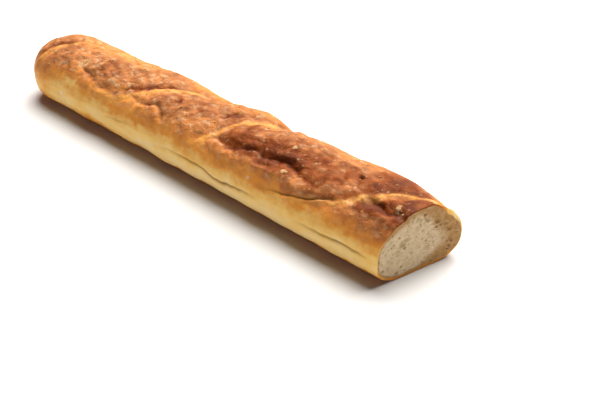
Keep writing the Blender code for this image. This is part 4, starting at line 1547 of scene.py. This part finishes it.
def add_lights(look):
    key = bpy.data.lights.new("key", "SUN")
    key.energy = look.key_strength
    key.angle = math.radians(look.key_softness)
    key.color = look.key_colour
    aim_light(key, look.key_from)
    fill = bpy.data.lights.new("fill", "AREA")
    fill.energy = look.fill_power
    fill.size = FILL_WIDTH
    aim_light(fill, look.fill_from)
    world = bpy.data.worlds.new("studio")
    world.use_nodes = True
    sky = world.node_tree.nodes["Background"]
    sky.inputs["Color"].default_value = (1.0, 1.0, 1.0, 1.0)
    sky.inputs["Strength"].default_value = look.sky
    bpy.context.scene.world = world


def add_camera(look):
    camera = bpy.data.cameras.new("camera")
    camera.lens = look.lens
    camera.sensor_width = SENSOR_WIDTH
    camera.sensor_fit = "HORIZONTAL"
    camera.clip_start = CAMERA_NEAREST
    camera.clip_end = CAMERA_FURTHEST
    viewer = bpy.data.objects.new("camera", camera)
    viewer.location = CAMERA_PLACE
    viewer.rotation_euler = (math.radians(CAMERA_TILT), 0.0, math.radians(CAMERA_TURN))
    bpy.context.scene.collection.objects.link(viewer)
    bpy.context.scene.camera = viewer


def add_studio(look):
    add_floor(look)
    add_lights(look)
    add_camera(look)
    bpy.context.scene.view_settings.view_transform = "Standard"
    bpy.context.scene.view_settings.look = "None"


# ---------------------------------------------------------------------------------------------
# The add-on
# ---------------------------------------------------------------------------------------------


class BAGUETTE_OT_add_crust(bpy.types.Operator):
    """Add the baked crust"""
    bl_idname = "baguette.add_crust"
    bl_label = "Add crust"

    def execute(self, context):
        add_crust(context.scene.baguette_crust)
        return {"FINISHED"}


class BAGUETTE_OT_add_crumb(bpy.types.Operator):
    """Add the open crumb that fills the cut end"""
    bl_idname = "baguette.add_crumb"
    bl_label = "Add crumb"

    def execute(self, context):
        add_crumb(context.scene.baguette_crumb, context.scene.baguette_crust)
        return {"FINISHED"}


class BAGUETTE_OT_add_flecks(bpy.types.Operator):
    """Strew the crust with flour and browned bits of dough"""
    bl_idname = "baguette.add_flecks"
    bl_label = "Add flour and bits"

    def execute(self, context):
        add_flecks(context.scene.baguette_flecks)
        return {"FINISHED"}


class BAGUETTE_OT_add_studio(bpy.types.Operator):
    """Add the floor, the lights and the camera"""
    bl_idname = "baguette.add_studio"
    bl_label = "Add studio"

    def execute(self, context):
        add_studio(context.scene.baguette_studio)
        return {"FINISHED"}


OPERATORS = (BAGUETTE_OT_add_crust, BAGUETTE_OT_add_crumb, BAGUETTE_OT_add_flecks,
             BAGUETTE_OT_add_studio)


class BAGUETTE_PT_panel(bpy.types.Panel):
    """Buttons for the baguette's pieces"""
    bl_idname = "BAGUETTE_PT_panel"
    bl_label = "Baguette"
    bl_space_type = "VIEW_3D"
    bl_region_type = "UI"
    bl_category = "Baguette"

    def draw(self, context):
        for operator in OPERATORS:
            self.layout.operator(operator.bl_idname)


SETTINGS = (("baguette_crust", CrustSettings), ("baguette_crumb", CrumbSettings),
            ("baguette_flecks", FleckSettings), ("baguette_studio", StudioSettings))


def register():
    for name, group in SETTINGS:
        bpy.utils.register_class(group)
        setattr(bpy.types.Scene, name, PointerProperty(type=group))
    for item in OPERATORS + (BAGUETTE_PT_panel,):
        bpy.utils.register_class(item)


def unregister():
    for item in (BAGUETTE_PT_panel,) + OPERATORS:
        bpy.utils.unregister_class(item)
    for name, group in SETTINGS:
        delattr(bpy.types.Scene, name)
        bpy.utils.unregister_class(group)


def main():
    register()
    bpy.ops.baguette.add_crust()
    bpy.ops.baguette.add_crumb()
    bpy.ops.baguette.add_flecks()
    bpy.ops.baguette.add_studio()


if __name__ == "__main__":
    main()
